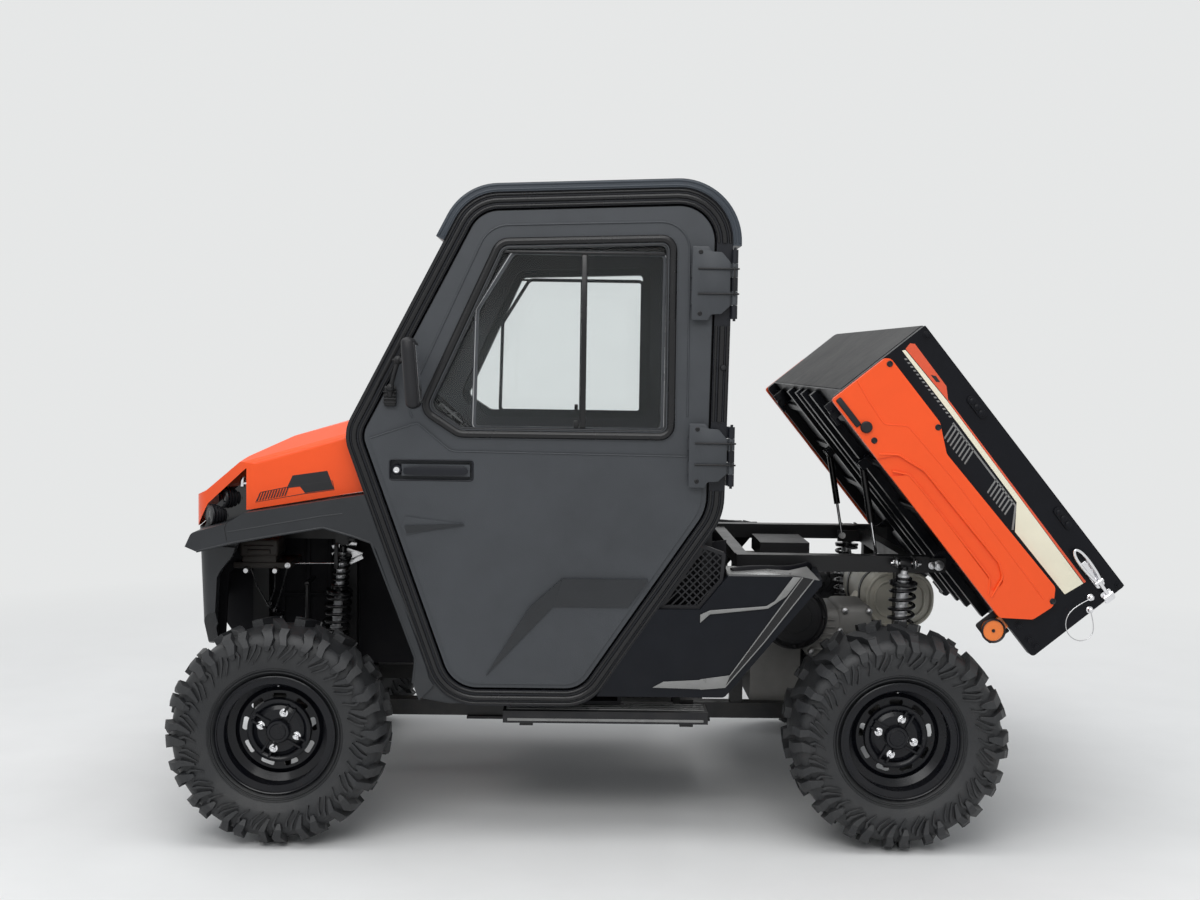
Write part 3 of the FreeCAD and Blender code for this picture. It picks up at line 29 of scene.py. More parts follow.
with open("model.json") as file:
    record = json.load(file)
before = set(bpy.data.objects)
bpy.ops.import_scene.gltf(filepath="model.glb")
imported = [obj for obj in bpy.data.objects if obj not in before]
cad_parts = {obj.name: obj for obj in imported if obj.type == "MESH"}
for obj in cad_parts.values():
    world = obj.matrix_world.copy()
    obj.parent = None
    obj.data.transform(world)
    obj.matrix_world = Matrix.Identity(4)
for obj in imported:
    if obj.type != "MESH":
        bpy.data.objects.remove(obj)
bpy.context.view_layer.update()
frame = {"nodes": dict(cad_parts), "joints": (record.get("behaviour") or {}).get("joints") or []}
NODES = frame["nodes"]
JOINTS = {joint["name"]: joint for joint in frame["joints"]}
SIDES = (("left", -1), ("right", 1))
ENDS = ("front", "rear")

CHARCOAL = (0.040, 0.044, 0.050)
ORANGE = (0.88, 0.088, 0.012)
CREAM = (0.80, 0.76, 0.60)
SALMON = (0.70, 0.10, 0.045)
DUST = (0.20, 0.18, 0.15)


# Node helpers

def link(tree, source, target):
    """Joins two sockets."""
    tree.links.new(source, target)


def math_node(tree, operation, first, second=None, clamp=False):
    """A Math node whose inputs are sockets or numbers."""
    node = tree.nodes.new("ShaderNodeMath")
    node.operation = operation
    node.use_clamp = clamp
    for index, value in enumerate((first, second)):
        if value is None:
            continue
        if isinstance(value, (int, float)):
            node.inputs[index].default_value = value
        else:
            link(tree, value, node.inputs[index])
    return node.outputs[0]


def noise(tree, vector, scale, detail=3.0, roughness=0.55):
    """A soft random pattern on a vector, as a value from 0 to 1."""
    node = tree.nodes.new("ShaderNodeTexNoise")
    node.inputs["Scale"].default_value = scale
    node.inputs["Detail"].default_value = detail
    node.inputs["Roughness"].default_value = roughness
    link(tree, vector, node.inputs["Vector"])
    return node.outputs["Fac"]


def spread(tree, value, low, high, out_low=0.0, out_high=1.0):
    """Maps low..high to out_low..out_high and clamps."""
    node = tree.nodes.new("ShaderNodeMapRange")
    for name, number in (("From Min", low), ("From Max", high), ("To Min", out_low), ("To Max", out_high)):
        node.inputs[name].default_value = number
    link(tree, value, node.inputs["Value"])
    return node.outputs["Result"]


def blend_colours(tree, factor, first, second):
    """Mixes two colours, each a socket or a tuple."""
    node = tree.nodes.new("ShaderNodeMix")
    node.data_type = "RGBA"
    if isinstance(factor, (int, float)):
        node.inputs["Factor"].default_value = factor
    else:
        link(tree, factor, node.inputs["Factor"])
    for name, value in (("A", first), ("B", second)):
        socket = [item for item in node.inputs if item.name == name and item.type == "RGBA"][0]
        if isinstance(value, tuple):
            socket.default_value = value[:3] + (1.0,)
        else:
            link(tree, value, socket)
    return [item for item in node.outputs if item.type == "RGBA"][0]


def group_tree(name, inputs, outputs):
    """An empty shader node group. Inputs are (name, socket type, default)."""
    tree = bpy.data.node_groups.new(name, "ShaderNodeTree")
    for title, kind, default in inputs:
        socket = tree.interface.new_socket(title, in_out="INPUT", socket_type=kind)
        socket.default_value = default
    for title, kind in outputs:
        tree.interface.new_socket(title, in_out="OUTPUT", socket_type=kind)
    entry = tree.nodes.new("NodeGroupInput")
    leave = tree.nodes.new("NodeGroupOutput")
    place = tree.nodes.new("ShaderNodeTexCoord")
    return tree, entry, leave, place.outputs["Object"]


def scaled(tree, vector, factor):
    """A vector times a number or a socket."""
    node = tree.nodes.new("ShaderNodeVectorMath")
    node.operation = "SCALE"
    link(tree, vector, node.inputs[0])
    if isinstance(factor, (int, float)):
        node.inputs["Scale"].default_value = factor
    else:
        link(tree, factor, node.inputs["Scale"])
    return node.outputs[0]


def make_grain_group():
    """Moulded or sprayed texture: a fine height and a slow change of shade."""
    tree, entry, leave, place = group_tree(
        "surface_grain",
        [("Grain Size", "NodeSocketFloat", 1.0)],
        [("Height", "NodeSocketFloat"), ("Shade", "NodeSocketFloat")])
    fine = noise(tree, scaled(tree, place, entry.outputs["Grain Size"]), 420.0, 2.0)
    slow = noise(tree, place, 2.6, 4.0)
    cloudy = noise(tree, place, 17.0, 3.0)
    link(tree, fine, leave.inputs["Height"])
    slow_share = math_node(tree, "MULTIPLY", slow, 0.6)
    cloudy_share = math_node(tree, "MULTIPLY", cloudy, 0.4)
    shade = math_node(tree, "ADD", slow_share, cloudy_share)
    link(tree, spread(tree, shade, 0.3, 0.7), leave.inputs["Shade"])
    return tree


def make_dust_group():
    """Where road dust lies: low down, on faces that look up and in blotches."""
    tree, entry, leave, place = group_tree(
        "road_dust",
        [("Amount", "NodeSocketFloat", 0.3), ("Reach", "NodeSocketFloat", 0.5)],
        [("Mask", "NodeSocketFloat")])
    split = tree.nodes.new("ShaderNodeSeparateXYZ")
    link(tree, place, split.inputs[0])
    low_down = math_node(tree, "SUBTRACT", 1.0,
                         math_node(tree, "DIVIDE", split.outputs["Z"], entry.outputs["Reach"]), True)
    surface = tree.nodes.new("ShaderNodeNewGeometry")
    facing = tree.nodes.new("ShaderNodeSeparateXYZ")
    link(tree, surface.outputs["Normal"], facing.inputs[0])
    upward = spread(tree, facing.outputs["Z"], -0.2, 1.0, 0.35, 1.0)
    blotch = spread(tree, noise(tree, place, 11.0, 6.0, 0.65), 0.38, 0.68)
    mask = math_node(tree, "MULTIPLY", math_node(tree, "MULTIPLY", low_down, upward), blotch)
    link(tree, math_node(tree, "MULTIPLY", mask, entry.outputs["Amount"], True), leave.inputs["Mask"])
    return tree


def make_scratch_group():
    """Thin scuffs that run along the vehicle."""
    tree, entry, leave, place = group_tree(
        "long_scuffs",
        [("Amount", "NodeSocketFloat", 0.3)],
        [("Mask", "NodeSocketFloat")])
    squeeze = tree.nodes.new("ShaderNodeMapping")
    squeeze.inputs["Scale"].default_value = (5.0, 60.0, 140.0)
    link(tree, place, squeeze.inputs["Vector"])
    lines = spread(tree, noise(tree, squeeze.outputs[0], 1.0, 5.0, 0.6), 0.66, 0.74)
    patches = spread(tree, noise(tree, place, 3.5, 2.0), 0.45, 0.65)
    mask = math_node(tree, "MULTIPLY", math_node(tree, "MULTIPLY", lines, patches), entry.outputs["Amount"])
    link(tree, mask, leave.inputs["Mask"])
    return tree


GRAIN = make_grain_group()
ROAD_DUST = make_dust_group()
SCUFFS = make_scratch_group()


def add_group(tree, group, **values):
    """Places a node group. Its values are named as its sockets, in lower case."""
    node = tree.nodes.new("ShaderNodeGroup")
    node.node_tree = group
    for name, value in values.items():
        node.inputs[name.replace("_", " ").title()].default_value = value
    return node


def new_material(name):
    """A material, its node tree and its shader."""
    material = bpy.data.materials.new(name)
    material.use_nodes = True
    shader = material.node_tree.nodes["Principled BSDF"]
    return material, material.node_tree, shader


def coated(name, colour, rough, grain=1.0, depth=0.0004, shade_change=0.25, dust=0.15, reach=0.9,
           metal=0.0, coat=0.0, scuffs=0.0, rough_change=0.1, gloss=0.5):
    """Paint or moulded plastic with grain, shade changes, dust and scuffs."""
    material, tree, shader = new_material(name)
    texture = add_group(tree, GRAIN, grain_size=grain)
    dark = tuple(channel * (1 - shade_change) for channel in colour)
    light = tuple(min(channel * (1 + shade_change), 1.0) for channel in colour)
    shaded = blend_colours(tree, texture.outputs["Shade"], dark, light)
    if scuffs:
        marks = add_group(tree, SCUFFS, amount=scuffs)
        pale = tuple(min(channel * 1.6 + 0.05, 1.0) for channel in colour)
        shaded = blend_colours(tree, marks.outputs["Mask"], shaded, pale)
    film = add_group(tree, ROAD_DUST, amount=dust, reach=reach)
    link(tree, blend_colours(tree, film.outputs["Mask"], shaded, DUST), shader.inputs["Base Color"])
    rough_map = spread(tree, texture.outputs["Shade"], 0.0, 1.0, rough - rough_change, rough + rough_change)
    rougher = math_node(tree, "ADD", rough_map, math_node(tree, "MULTIPLY", film.outputs["Mask"], 0.4), True)
    link(tree, rougher, shader.inputs["Roughness"])
    shader.inputs["Metallic"].default_value = metal
    shader.inputs["Specular IOR Level"].default_value = gloss
    shader.inputs["Coat Weight"].default_value = coat
    shader.inputs["Coat Roughness"].default_value = 0.12
    bump = tree.nodes.new("ShaderNodeBump")
    bump.inputs["Strength"].default_value = 0.6
    bump.inputs["Distance"].default_value = depth
    link(tree, texture.outputs["Height"], bump.inputs["Height"])
    link(tree, bump.outputs["Normal"], shader.inputs["Normal"])
    return material


def make_glass(name, tint):
    """Thin tinted pane. Part of the light passes straight, so the cab behind it is lit."""
    material, tree, shader = new_material(name)
    place = tree.nodes.new("ShaderNodeTexCoord").outputs["Object"]
    streaks = spread(tree, noise(tree, place, 9.0, 4.0), 0.3, 0.7)
    link(tree, blend_colours(tree, streaks, tint, tuple(channel * 0.97 for channel in tint)),
         shader.inputs["Base Color"])
    shader.inputs["Roughness"].default_value = 0.0
    shader.inputs["Transmission Weight"].default_value = 1.0
    shader.inputs["IOR"].default_value = 1.01
    shader.inputs["Coat Weight"].default_value = 0.7
    shader.inputs["Coat Roughness"].default_value = 0.0
    shader.inputs["Alpha"].default_value = 0.5
    return material


FINISHES = {
    "cab_plastic": dict(colour=CHARCOAL, rough=0.46, depth=0.0006, shade_change=0.14, dust=0.10,
                        reach=0.7, scuffs=0.10, gloss=0.42),
    # Darker plastic of the fenders; the door's pressed wedges also take it as painted shade.
    "fender_plastic_and_shade": dict(colour=(0.021, 0.023, 0.026), rough=0.44, depth=0.0005, shade_change=0.16,
                           dust=0.2, reach=0.8, gloss=0.36),
    "roof_plastic": dict(colour=(0.026, 0.034, 0.045), rough=0.40, grain=1.2, shade_change=0.12,
                         dust=0.0, gloss=0.45),
    "ring_black": dict(colour=(0.010, 0.011, 0.015), rough=0.30, grain=1.6, depth=0.0003,
                       shade_change=0.15, dust=0.06, reach=0.7, gloss=0.28),
    "seal_rubber": dict(colour=(0.006, 0.006, 0.007), rough=0.26, grain=1.4, depth=0.0002,
                        shade_change=0.2, dust=0.05, reach=0.8, gloss=0.40),
    "panel_plastic": dict(colour=(0.006, 0.007, 0.010), rough=0.36, depth=0.0005, shade_change=0.2,
                          dust=0.07, reach=0.7, gloss=0.16),
    "black_plastic": dict(colour=(0.009, 0.009, 0.011), rough=0.46, shade_change=0.2, dust=0.20,
                          reach=0.8, gloss=0.34),
    "liner": dict(colour=(0.003, 0.003, 0.005), rough=0.60, depth=0.0006, shade_change=0.3, dust=0.10,
                  reach=0.7, gloss=0.2),
    "orange": dict(colour=ORANGE, rough=0.40, grain=0.8, depth=0.00015, shade_change=0.035, dust=0.04,
                   reach=0.8, coat=0.12, rough_change=0.05, gloss=0.32),
    "bed_black": dict(colour=(0.005, 0.0055, 0.008), rough=0.36, grain=0.5, depth=0.0005,
                      shade_change=0.2, dust=0.02, scuffs=0.1, gloss=0.16),
    # Grey of the bed's front sheet: painted sheen of a wet wall, with scuffs and dust as wear.
    "bed_worn_and_sheen": dict(colour=(0.022, 0.022, 0.023), rough=0.58, grain=0.35, depth=0.0012,
                     shade_change=0.4, dust=0.10, reach=2.0, scuffs=0.25, gloss=0.25),
    "damper_metal": dict(colour=(0.72, 0.72, 0.73), rough=0.28, grain=0.6, depth=0.0002,
                         shade_change=0.1, dust=0.0, metal=0.35),
    "frame_black": dict(colour=(0.008, 0.008, 0.009), rough=0.38, grain=0.7, dust=0.25, reach=0.8,
                        gloss=0.34),
    "cast_iron": dict(colour=(0.022, 0.021, 0.020), rough=0.6, grain=0.45, depth=0.0010,
                      shade_change=0.35, dust=0.5, reach=0.7, metal=0.4),
    "rim_black": dict(colour=(0.005, 0.0055, 0.008), rough=0.26, grain=0.8, depth=0.0002,
                      shade_change=0.2, dust=0.07, reach=0.5, coat=0.10, gloss=0.22),
    "alloy": dict(colour=(0.62, 0.62, 0.63), rough=0.30, grain=0.6, depth=0.0003, shade_change=0.12,
                  dust=0.12, metal=1.0),
    "chrome": dict(colour=(0.82, 0.82, 0.84), rough=0.14, grain=0.6, depth=0.0001, shade_change=0.06,
                   dust=0.0, metal=1.0, rough_change=0.04),
    "engine_alloy": dict(colour=(0.20, 0.195, 0.185), rough=0.55, grain=0.4, depth=0.0010, dust=0.4,
                         metal=0.3),
    "muffler_steel": dict(colour=(0.54, 0.515, 0.44), rough=0.40, grain=0.5, depth=0.0005,
                          shade_change=0.18, dust=0.12, reach=1.2),
    "spring_black": dict(colour=(0.007, 0.007, 0.008), rough=0.26, grain=0.8, depth=0.0002,
                         shade_change=0.2, dust=0.2, reach=0.7, gloss=0.42),
    "winch_brown": dict(colour=(0.030, 0.025, 0.022), rough=0.55, grain=0.6, depth=0.0008,
                        shade_change=0.3, dust=0.3, reach=1.2, gloss=0.3),
    "reflector": dict(colour=(0.90, 0.20, 0.015), rough=0.25, grain=0.3, depth=0.0002, shade_change=0.06,
                      dust=0.0, coat=0.6, rough_change=0.05),
    "lamp_lens": dict(colour=(0.008, 0.009, 0.011), rough=0.14, grain=0.6, depth=0.0001,
                      shade_change=0.15, dust=0.0, coat=0.6, rough_change=0.04, gloss=0.4),
    "cream_film": dict(colour=CREAM, rough=0.40, depth=0.0001, shade_change=0.05, dust=0.03, reach=1.0,
                       rough_change=0.05, gloss=0.3),
    "salmon_film": dict(colour=SALMON, rough=0.40, depth=0.0001, shade_change=0.06, dust=0.03, reach=1.0,
                        rough_change=0.05, gloss=0.3),
    "grey_film": dict(colour=(0.020, 0.020, 0.022), rough=0.40, depth=0.0001, shade_change=0.1,
                      dust=0.02, reach=1.0, gloss=0.3),
    # Pale trim and print; on the side panel the same pale colour paints highlights.
    "pale_trim_and_highlight": dict(colour=(0.20, 0.20, 0.195), rough=0.30, grain=0.6, dust=0.0, scuffs=0.2),
}


def make_rubber():
    """Tyre rubber: near black, paler and drier where it has touched the ground."""
    material, tree, shader = new_material("rubber")
    texture = add_group(tree, GRAIN, grain_size=0.5)
    film = add_group(tree, ROAD_DUST, amount=0.35, reach=1.0)
    base = blend_colours(tree, texture.outputs["Shade"], (0.011, 0.012, 0.014), (0.022, 0.023, 0.025))
    dusty = blend_colours(tree, film.outputs["Mask"], base, (0.075, 0.072, 0.066))
    link(tree, dusty, shader.inputs["Base Color"])
    rough = spread(tree, texture.outputs["Shade"], 0.0, 1.0, 0.44, 0.62)
    link(tree, rough, shader.inputs["Roughness"])
    bump = tree.nodes.new("ShaderNodeBump")
    bump.inputs["Distance"].default_value = 0.0008
    link(tree, texture.outputs["Height"], bump.inputs["Height"])
    link(tree, bump.outputs["Normal"], shader.inputs["Normal"])
    return material


def make_vinyl():
    """Seat vinyl with a fine leather grain."""
    material, tree, shader = new_material("seat_vinyl")
    place = tree.nodes.new("ShaderNodeTexCoord").outputs["Object"]
    cells = tree.nodes.new("ShaderNodeTexVoronoi")
    cells.inputs["Scale"].default_value = 260.0
    link(tree, place, cells.inputs["Vector"])
    shade = noise(tree, place, 6.0, 4.0)
    link(tree, blend_colours(tree, shade, (0.018, 0.018, 0.019), (0.036, 0.036, 0.038)),
         shader.inputs["Base Color"])
    link(tree, spread(tree, shade, 0.3, 0.7, 0.38, 0.55), shader.inputs["Roughness"])
    bump = tree.nodes.new("ShaderNodeBump")
    bump.inputs["Strength"].default_value = 0.4
    bump.inputs["Distance"].default_value = 0.0006
    link(tree, cells.outputs["Distance"], bump.inputs["Height"])
    link(tree, bump.outputs["Normal"], shader.inputs["Normal"])
    return material


MATERIALS = {name: coated(name, **finish) for name, finish in FINISHES.items()}
MATERIALS["glass"] = make_glass("glass", (0.80, 0.85, 0.85))
MATERIALS["rubber"] = make_rubber()
MATERIALS["seat_vinyl"] = make_vinyl()

NODES_BY_FINISH = {
    "frame_black": ["frame_rails", "frame_crosses", "frame_uprights", "bed_rails", "bed_crosses",
        "suspension_arms_front", "suspension_arms_rear", "steering_column"],
    "black_plastic": ["belly_pan", "cvt_cover", "air_intake", "mirror_left", "mirror_right",
        "rear_wall", "dashboard", "steering_wheel", "vent_grilles"],
    "engine_alloy": ["engine_block", "final_drives"],
    "muffler_steel": ["muffler"],
    "spring_black": ["coilovers_front", "coilovers_rear", "strut_barrels"],
    "cast_iron": ["drive_shafts", "knuckle_left", "knuckle_right"],
    "alloy": ["tie_rods", "rack_housing"],
    "ring_black": ["cab_ring_left", "cab_ring_right"],
    "cab_plastic": ["door_left", "door_right"],
    "glass": ["door_glass_left", "door_glass_right", "windscreen", "rear_glass"],
    "roof_plastic": ["roof"],
    "liner": ["cab_floor"],
    "seat_vinyl": ["seat_cushion", "seat_back"],
    "orange": ["hood", "bed_side_panels"],
    "fender_plastic_and_shade": ["front_fenders", "front_mask"],
    "lamp_lens": ["lamps"],
    "panel_plastic": ["side_panels"],
    "bed_black": ["bed_tub", "tailgate"],
    "reflector": ["tail_reflectors"],
    "chrome": ["strut_rods"],
}
NODE_FINISHES = {name: finish for finish, names in NODES_BY_FINISH.items() for name in names}
for end in ENDS:
    for side, sign in SIDES:
        NODE_FINISHES["tyre_%s_%s" % (end, side)] = "rubber"
        NODE_FINISHES["rim_%s_%s" % (end, side)] = "rim_black"

for node_name, node in NODES.items():
    node.data.materials.clear()
    node.data.materials.append(MATERIALS[NODE_FINISHES[node_name]])


# Mesh helpers

MM = 0.001
AXIS_RADIUS = 0.01


def new_object(name, data):
    """An object in the scene, at the origin."""
    holder = bpy.data.objects.new(name, data)
    bpy.context.scene.collection.objects.link(holder)
    return holder


def applied_mesh(holder):
    """The mesh that an object's curve or modifiers make. The object goes."""
    mesh = bpy.data.meshes.new_from_object(holder.evaluated_get(bpy.context.evaluated_depsgraph_get()))
    bpy.data.objects.remove(holder)
    return mesh


def finish_piece(bm, name, finish, body, sharp=40.0, transform=None):
    """Turns a bmesh into a piece that rides on a body."""
    if transform is not None:
        bmesh.ops.transform(bm, matrix=transform, verts=bm.verts)
    bmesh.ops.recalc_face_normals(bm, faces=bm.faces)
    mesh = bpy.data.meshes.new(name)
    bm.to_mesh(mesh)
    bm.free()
    return wrap_mesh(mesh, name, finish, body, sharp)


def wrap_mesh(mesh, name, finish, body, sharp=40.0):
    """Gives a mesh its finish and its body."""
    piece = new_object(name, mesh)
    mesh.polygons.foreach_set("use_smooth", [True] * len(mesh.polygons))
    mesh.set_sharp_from_angle(angle=math.radians(sharp))
    mesh.materials.append(MATERIALS[finish])
    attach(piece, body)
    return piece


def add_box(bm, low, high, bevel=0.0, segments=2):
    """A box between two corners with rounded edges."""
    low, high = Vector(low), Vector(high)
    made = bmesh.ops.create_cube(bm, size=1.0)["verts"]
    size = high - low
    bmesh.ops.scale(bm, vec=size, verts=made)
    if bevel:
        edges = list({edge for vert in made for edge in vert.link_edges})
        result = bmesh.ops.bevel(bm, geom=edges, offset=bevel, segments=segments, profile=0.5,
                                 affect="EDGES", material=-1)
        made = connected([vert for face in result["faces"] for vert in face.verts])
    bmesh.ops.translate(bm, vec=(low + high) / 2, verts=made)
    return made


def connected(verts):
    """All vertices of the islands that hold these vertices."""
    found, waiting = set(verts), list(verts)
    while waiting:
        vert = waiting.pop()
        for edge in vert.link_edges:
            other = edge.other_vert(vert)
            if other not in found:
                found.add(other)
                waiting.append(other)
    return list(found)


def add_plate(bm, outline, low_y, high_y, bevel=0.0, segments=2):
    """A plate in the XZ plane between two Y values, from (x, z) corners."""
    verts = [bm.verts.new((x, low_y, z)) for x, z in outline]
    face = bm.faces.new(verts)
    grown = bmesh.ops.extrude_face_region(bm, geom=[face])["geom"]
    top = [item for item in grown if isinstance(item, bmesh.types.BMVert)]
    bmesh.ops.translate(bm, vec=(0, high_y - low_y, 0), verts=top)
    made = verts + top
    bmesh.ops.recalc_face_normals(bm, faces=list({face for vert in made for face in vert.link_faces}))
    if bevel:
        edges = list({edge for vert in made for edge in vert.link_edges})
        result = bmesh.ops.bevel(bm, geom=edges, offset=bevel, segments=segments, profile=0.5,
                                 affect="EDGES", material=-1, clamp_overlap=True)
        made = connected([vert for face in result["faces"] for vert in face.verts])
    return made


def add_rod(bm, start, end, radius, segments=20, bevel=0.0):
    """A round bar from point to point."""
    start, end = Vector(start), Vector(end)
    way = end - start
    made = bmesh.ops.create_cone(bm, cap_ends=True, segments=segments, radius1=radius,
                                 radius2=radius, depth=way.length)["verts"]
    if bevel:
        caps = [edge for vert in made for edge in vert.link_edges
                if abs(edge.verts[0].co.z - edge.verts[1].co.z) < 1e-9]
        result = bmesh.ops.bevel(bm, geom=list(set(caps)), offset=bevel, segments=2, profile=0.5,
                                 affect="EDGES", material=-1)
        made = connected([vert for face in result["faces"] for vert in face.verts])
    turn = Vector((0, 0, 1)).rotation_difference(way).to_matrix().to_4x4()
    bmesh.ops.transform(bm, matrix=Matrix.Translation((start + end) / 2) @ turn, verts=made)
    return made


def add_turned(bm, profile, centre=(0, 0, 0), steps=48):
    """A solid of revolution about the Y direction. The profile's corners are (y, radius)."""
    verts = [bm.verts.new((0, along, radius)) for along, radius in profile]
    edges = [bm.edges.new(pair) for pair in zip(verts, verts[1:])]
    bmesh.ops.spin(bm, geom=verts + edges, cent=(0, 0, 0), axis=(0, 1, 0), dvec=(0, 0, 0),
                   angle=2 * math.pi, steps=steps, use_merge=True)
    made = connected(verts)
    bmesh.ops.remove_doubles(bm, verts=made, dist=1e-6)
    made = [vert for vert in made if vert.is_valid]
    bmesh.ops.recalc_face_normals(bm, faces=list({face for vert in made for face in vert.link_faces}))
    bmesh.ops.translate(bm, vec=centre, verts=made)
    return made


def add_knob(bm, spot, profile, steps):
    """A turned solid closed at both ends, at an (x, z) spot. The profile's corners are (y, radius)."""
    x, z = spot
    closed = [(profile[0][0], AXIS_RADIUS)] + profile + [(profile[-1][0], AXIS_RADIUS)]
    return add_turned(bm, closed, (x, 0, z), steps)


def round_corners(corners, radius, steps=8, closed=True):
    """Points of an outline whose corners are rounded by arcs. A corner may carry its own radius."""
    points = []
    count = len(corners)
    for index, corner in enumerate(corners):
        here = Vector(corner[:2])
        own = corner[2] if len(corner) > 2 else radius
        if not closed and index in (0, count - 1):
            points.append(here.to_tuple())
            continue
        back = Vector(corners[index - 1][:2]) - here
        ahead = Vector(corners[(index + 1) % count][:2]) - here
        angle = back.angle(ahead)
        reach = min(own / math.tan(angle / 2), back.length * 0.49, ahead.length * 0.49)
        own = reach * math.tan(angle / 2)
        if own < 1e-6:
            points.append(here.to_tuple())
            continue
        middle_way = (back.normalized() + ahead.normalized()).normalized()
        centre = here + middle_way * (own / math.sin(angle / 2))
        start = here + back.normalized() * reach - centre
        finish = here + ahead.normalized() * reach - centre
        sweep = math.atan2(start.x * finish.y - start.y * finish.x, start.dot(finish))
        for step in range(steps + 1):
            turn = Matrix.Rotation(sweep * step / steps, 2)
            points.append((centre + turn @ start).to_tuple())
    return points


def rounded_rectangle(low, high, radius, steps):
    """Outline between two (x, z) corners."""
    corners = [(low[0], low[1]), (low[0], high[1]), (high[0], high[1]), (high[0], low[1])]
    return round_corners(corners, radius, steps)


def at_depth(points, y):
    """A line of (x, z) points at a distance from the centre line."""
    return [(x, y, z) for x, z in points]


def swept(name, points, radius, finish, body, closed=False, smooth=False, sides=4, transform=None):
    """A round bar that follows a path."""
    curve = bpy.data.curves.new(name, "CURVE")
    curve.dimensions = "3D"
    curve.bevel_depth = radius
    curve.bevel_resolution = sides
    curve.use_fill_caps = not closed
    spline = curve.splines.new("NURBS" if smooth else "POLY")
    spline.points.add(len(points) - 1)
    for item, point in zip(spline.points, points):
        item.co = tuple(point) + (1.0,)
    spline.use_cyclic_u = closed
    if smooth:
        spline.order_u = 3
        spline.use_endpoint_u = not closed
        spline.resolution_u = 8
    holder = new_object(name + "_path", curve)
    bpy.context.view_layer.update()
    mesh = applied_mesh(holder)
    mesh.materials.clear()
    if transform is not None:
        mesh.transform(transform)
    mesh.name = name
    return wrap_mesh(mesh, name, finish, body, 60.0)


MIRROR_Y = Matrix.Scale(-1, 4, (0, 1, 0))


def pivot_matrix(pivot, degrees):
    """Turns about a Y axis through a point."""
    place = Matrix.Translation(pivot)
    return place @ Matrix.Rotation(math.radians(degrees), 4, "Y") @ place.inverted()


BED_PIVOT = Vector(JOINTS["bed_tilt"]["pos_m"])
BED_RAISE_DEGREES = 51.0
RAISED = pivot_matrix(BED_PIVOT, BED_RAISE_DEGREES)


def place_of(sign=-1, raised=False):
    """From millimetres on the left side to metres on either side, at rest or raised with the bed."""
    place = Matrix.Scale(MM, 4)
    if sign > 0:
        place = MIRROR_Y @ place
    return RAISED @ place if raised else place


def single(name, finish, body, make, raised=False, sharp=40.0):
    """A piece whose make function fills a mesh in millimetres."""
    bm = bmesh.new()
    make(bm)
    return finish_piece(bm, name, finish, body, sharp, place_of(-1, raised))


def both_sides(name, finish, body, make, raised=False, sharp=40.0):
    """A piece on the left side and its mirror image. A star in the body's name is the side."""
    pieces = []
    for side, sign in SIDES:
        bm = bmesh.new()
        make(bm)
        pieces.append(finish_piece(bm, "%s_%s" % (name, side), finish, body.replace("*", side), sharp,
                                   place_of(sign, raised)))
    return pieces


def bead(name, points, radius, finish, body, closed=False, smooth=False, sides=3, raised=False):
    """A thin round bead along a line of millimetre points, on both sides."""
    for side, sign in SIDES:
        swept("%s_%s" % (name, side), points, radius, finish, body.replace("*", side), closed, smooth,
              sides, place_of(sign, raised))


def offset_outline(corners, distance):
    """The corners of a clockwise outline moved outwards, each radius grown to match."""
    moved = []
    count = len(corners)
    for index, corner in enumerate(corners):
        here = Vector(corner[:2])
        back = (here - Vector(corners[index - 1][:2])).normalized()
        ahead = (Vector(corners[(index + 1) % count][:2]) - here).normalized()
        first, second = Vector((-back.y, back.x)), Vector((-ahead.y, ahead.x))
        way = (first + second).normalized()
        turns_right = back.x * ahead.y - back.y * ahead.x < 0
        radius = max(corner[2] + (distance if turns_right else -distance), 0.0)
        moved.append((here + way * (distance / way.dot(first))).to_tuple() + (radius,))
    return moved


def around(outline, y):
    """The rounded line of an outline at a distance from the centre line."""
    return at_depth(round_corners(outline, 0.0), y)


def divided(points, step):
    """A closed line with points added so that none lie further apart than a step."""
    dense = []
    for start, end in zip(points, points[1:] + points[:1]):
        start, end = Vector(start), Vector(end)
        count = max(int((end - start).length / step), 1)
        dense += [tuple(start.lerp(end, part / count)) for part in range(count)]
    return dense


def open_runs(points, is_free):
    """The runs of a closed line whose points are free."""
    start = next(index for index in range(len(points))
                 if is_free(points[index]) and not is_free(points[index - 1]))
    runs, run = [], []
    for point in points[start:] + points[:start]:
        if is_free(point):
            run.append(point)
        elif run:
            runs.append(run)
            run = []
    if run:
        runs.append(run)
    return [run for run in runs if len(run) > 2]


def add_bolt(bm, centre, radius, height, axis="Y", out=-1):
    """A hexagon head on a washer, facing outwards."""
    across = Vector({"X": (1, 0, 0), "Y": (0, 1, 0)}[axis]) * out
    middle = Vector(centre)
    add_rod(bm, middle, middle + across * height * 0.3, radius * 1.5, 18, height * 0.08)
    add_rod(bm, middle + across * height * 0.28, middle + across * height, radius, 6, height * 0.12)


def add_screw(bm, centre, radius):
    """A pan head with a recess, facing away from the centre line."""
    x, y, z = centre
    add_knob(bm, (x, z), [(y + 1, radius), (y - radius * 0.35, radius), (y - radius * 0.6, radius * 0.7),
                          (y - radius * 0.6, radius * 0.35), (y - radius * 0.25, radius * 0.3)], 14)


# Stage, light and camera

BACKDROP = (0.79, 0.80, 0.80, 1.0)


def background_rays(tree):
    """1 for rays that look at the background, straight, in a reflection or through glass."""
    rays = tree.nodes.new("ShaderNodeLightPath")
    seen = math_node(tree, "MAXIMUM", rays.outputs["Is Camera Ray"], rays.outputs["Is Transmission Ray"])
    return math_node(tree, "MAXIMUM", seen, rays.outputs["Is Glossy Ray"])


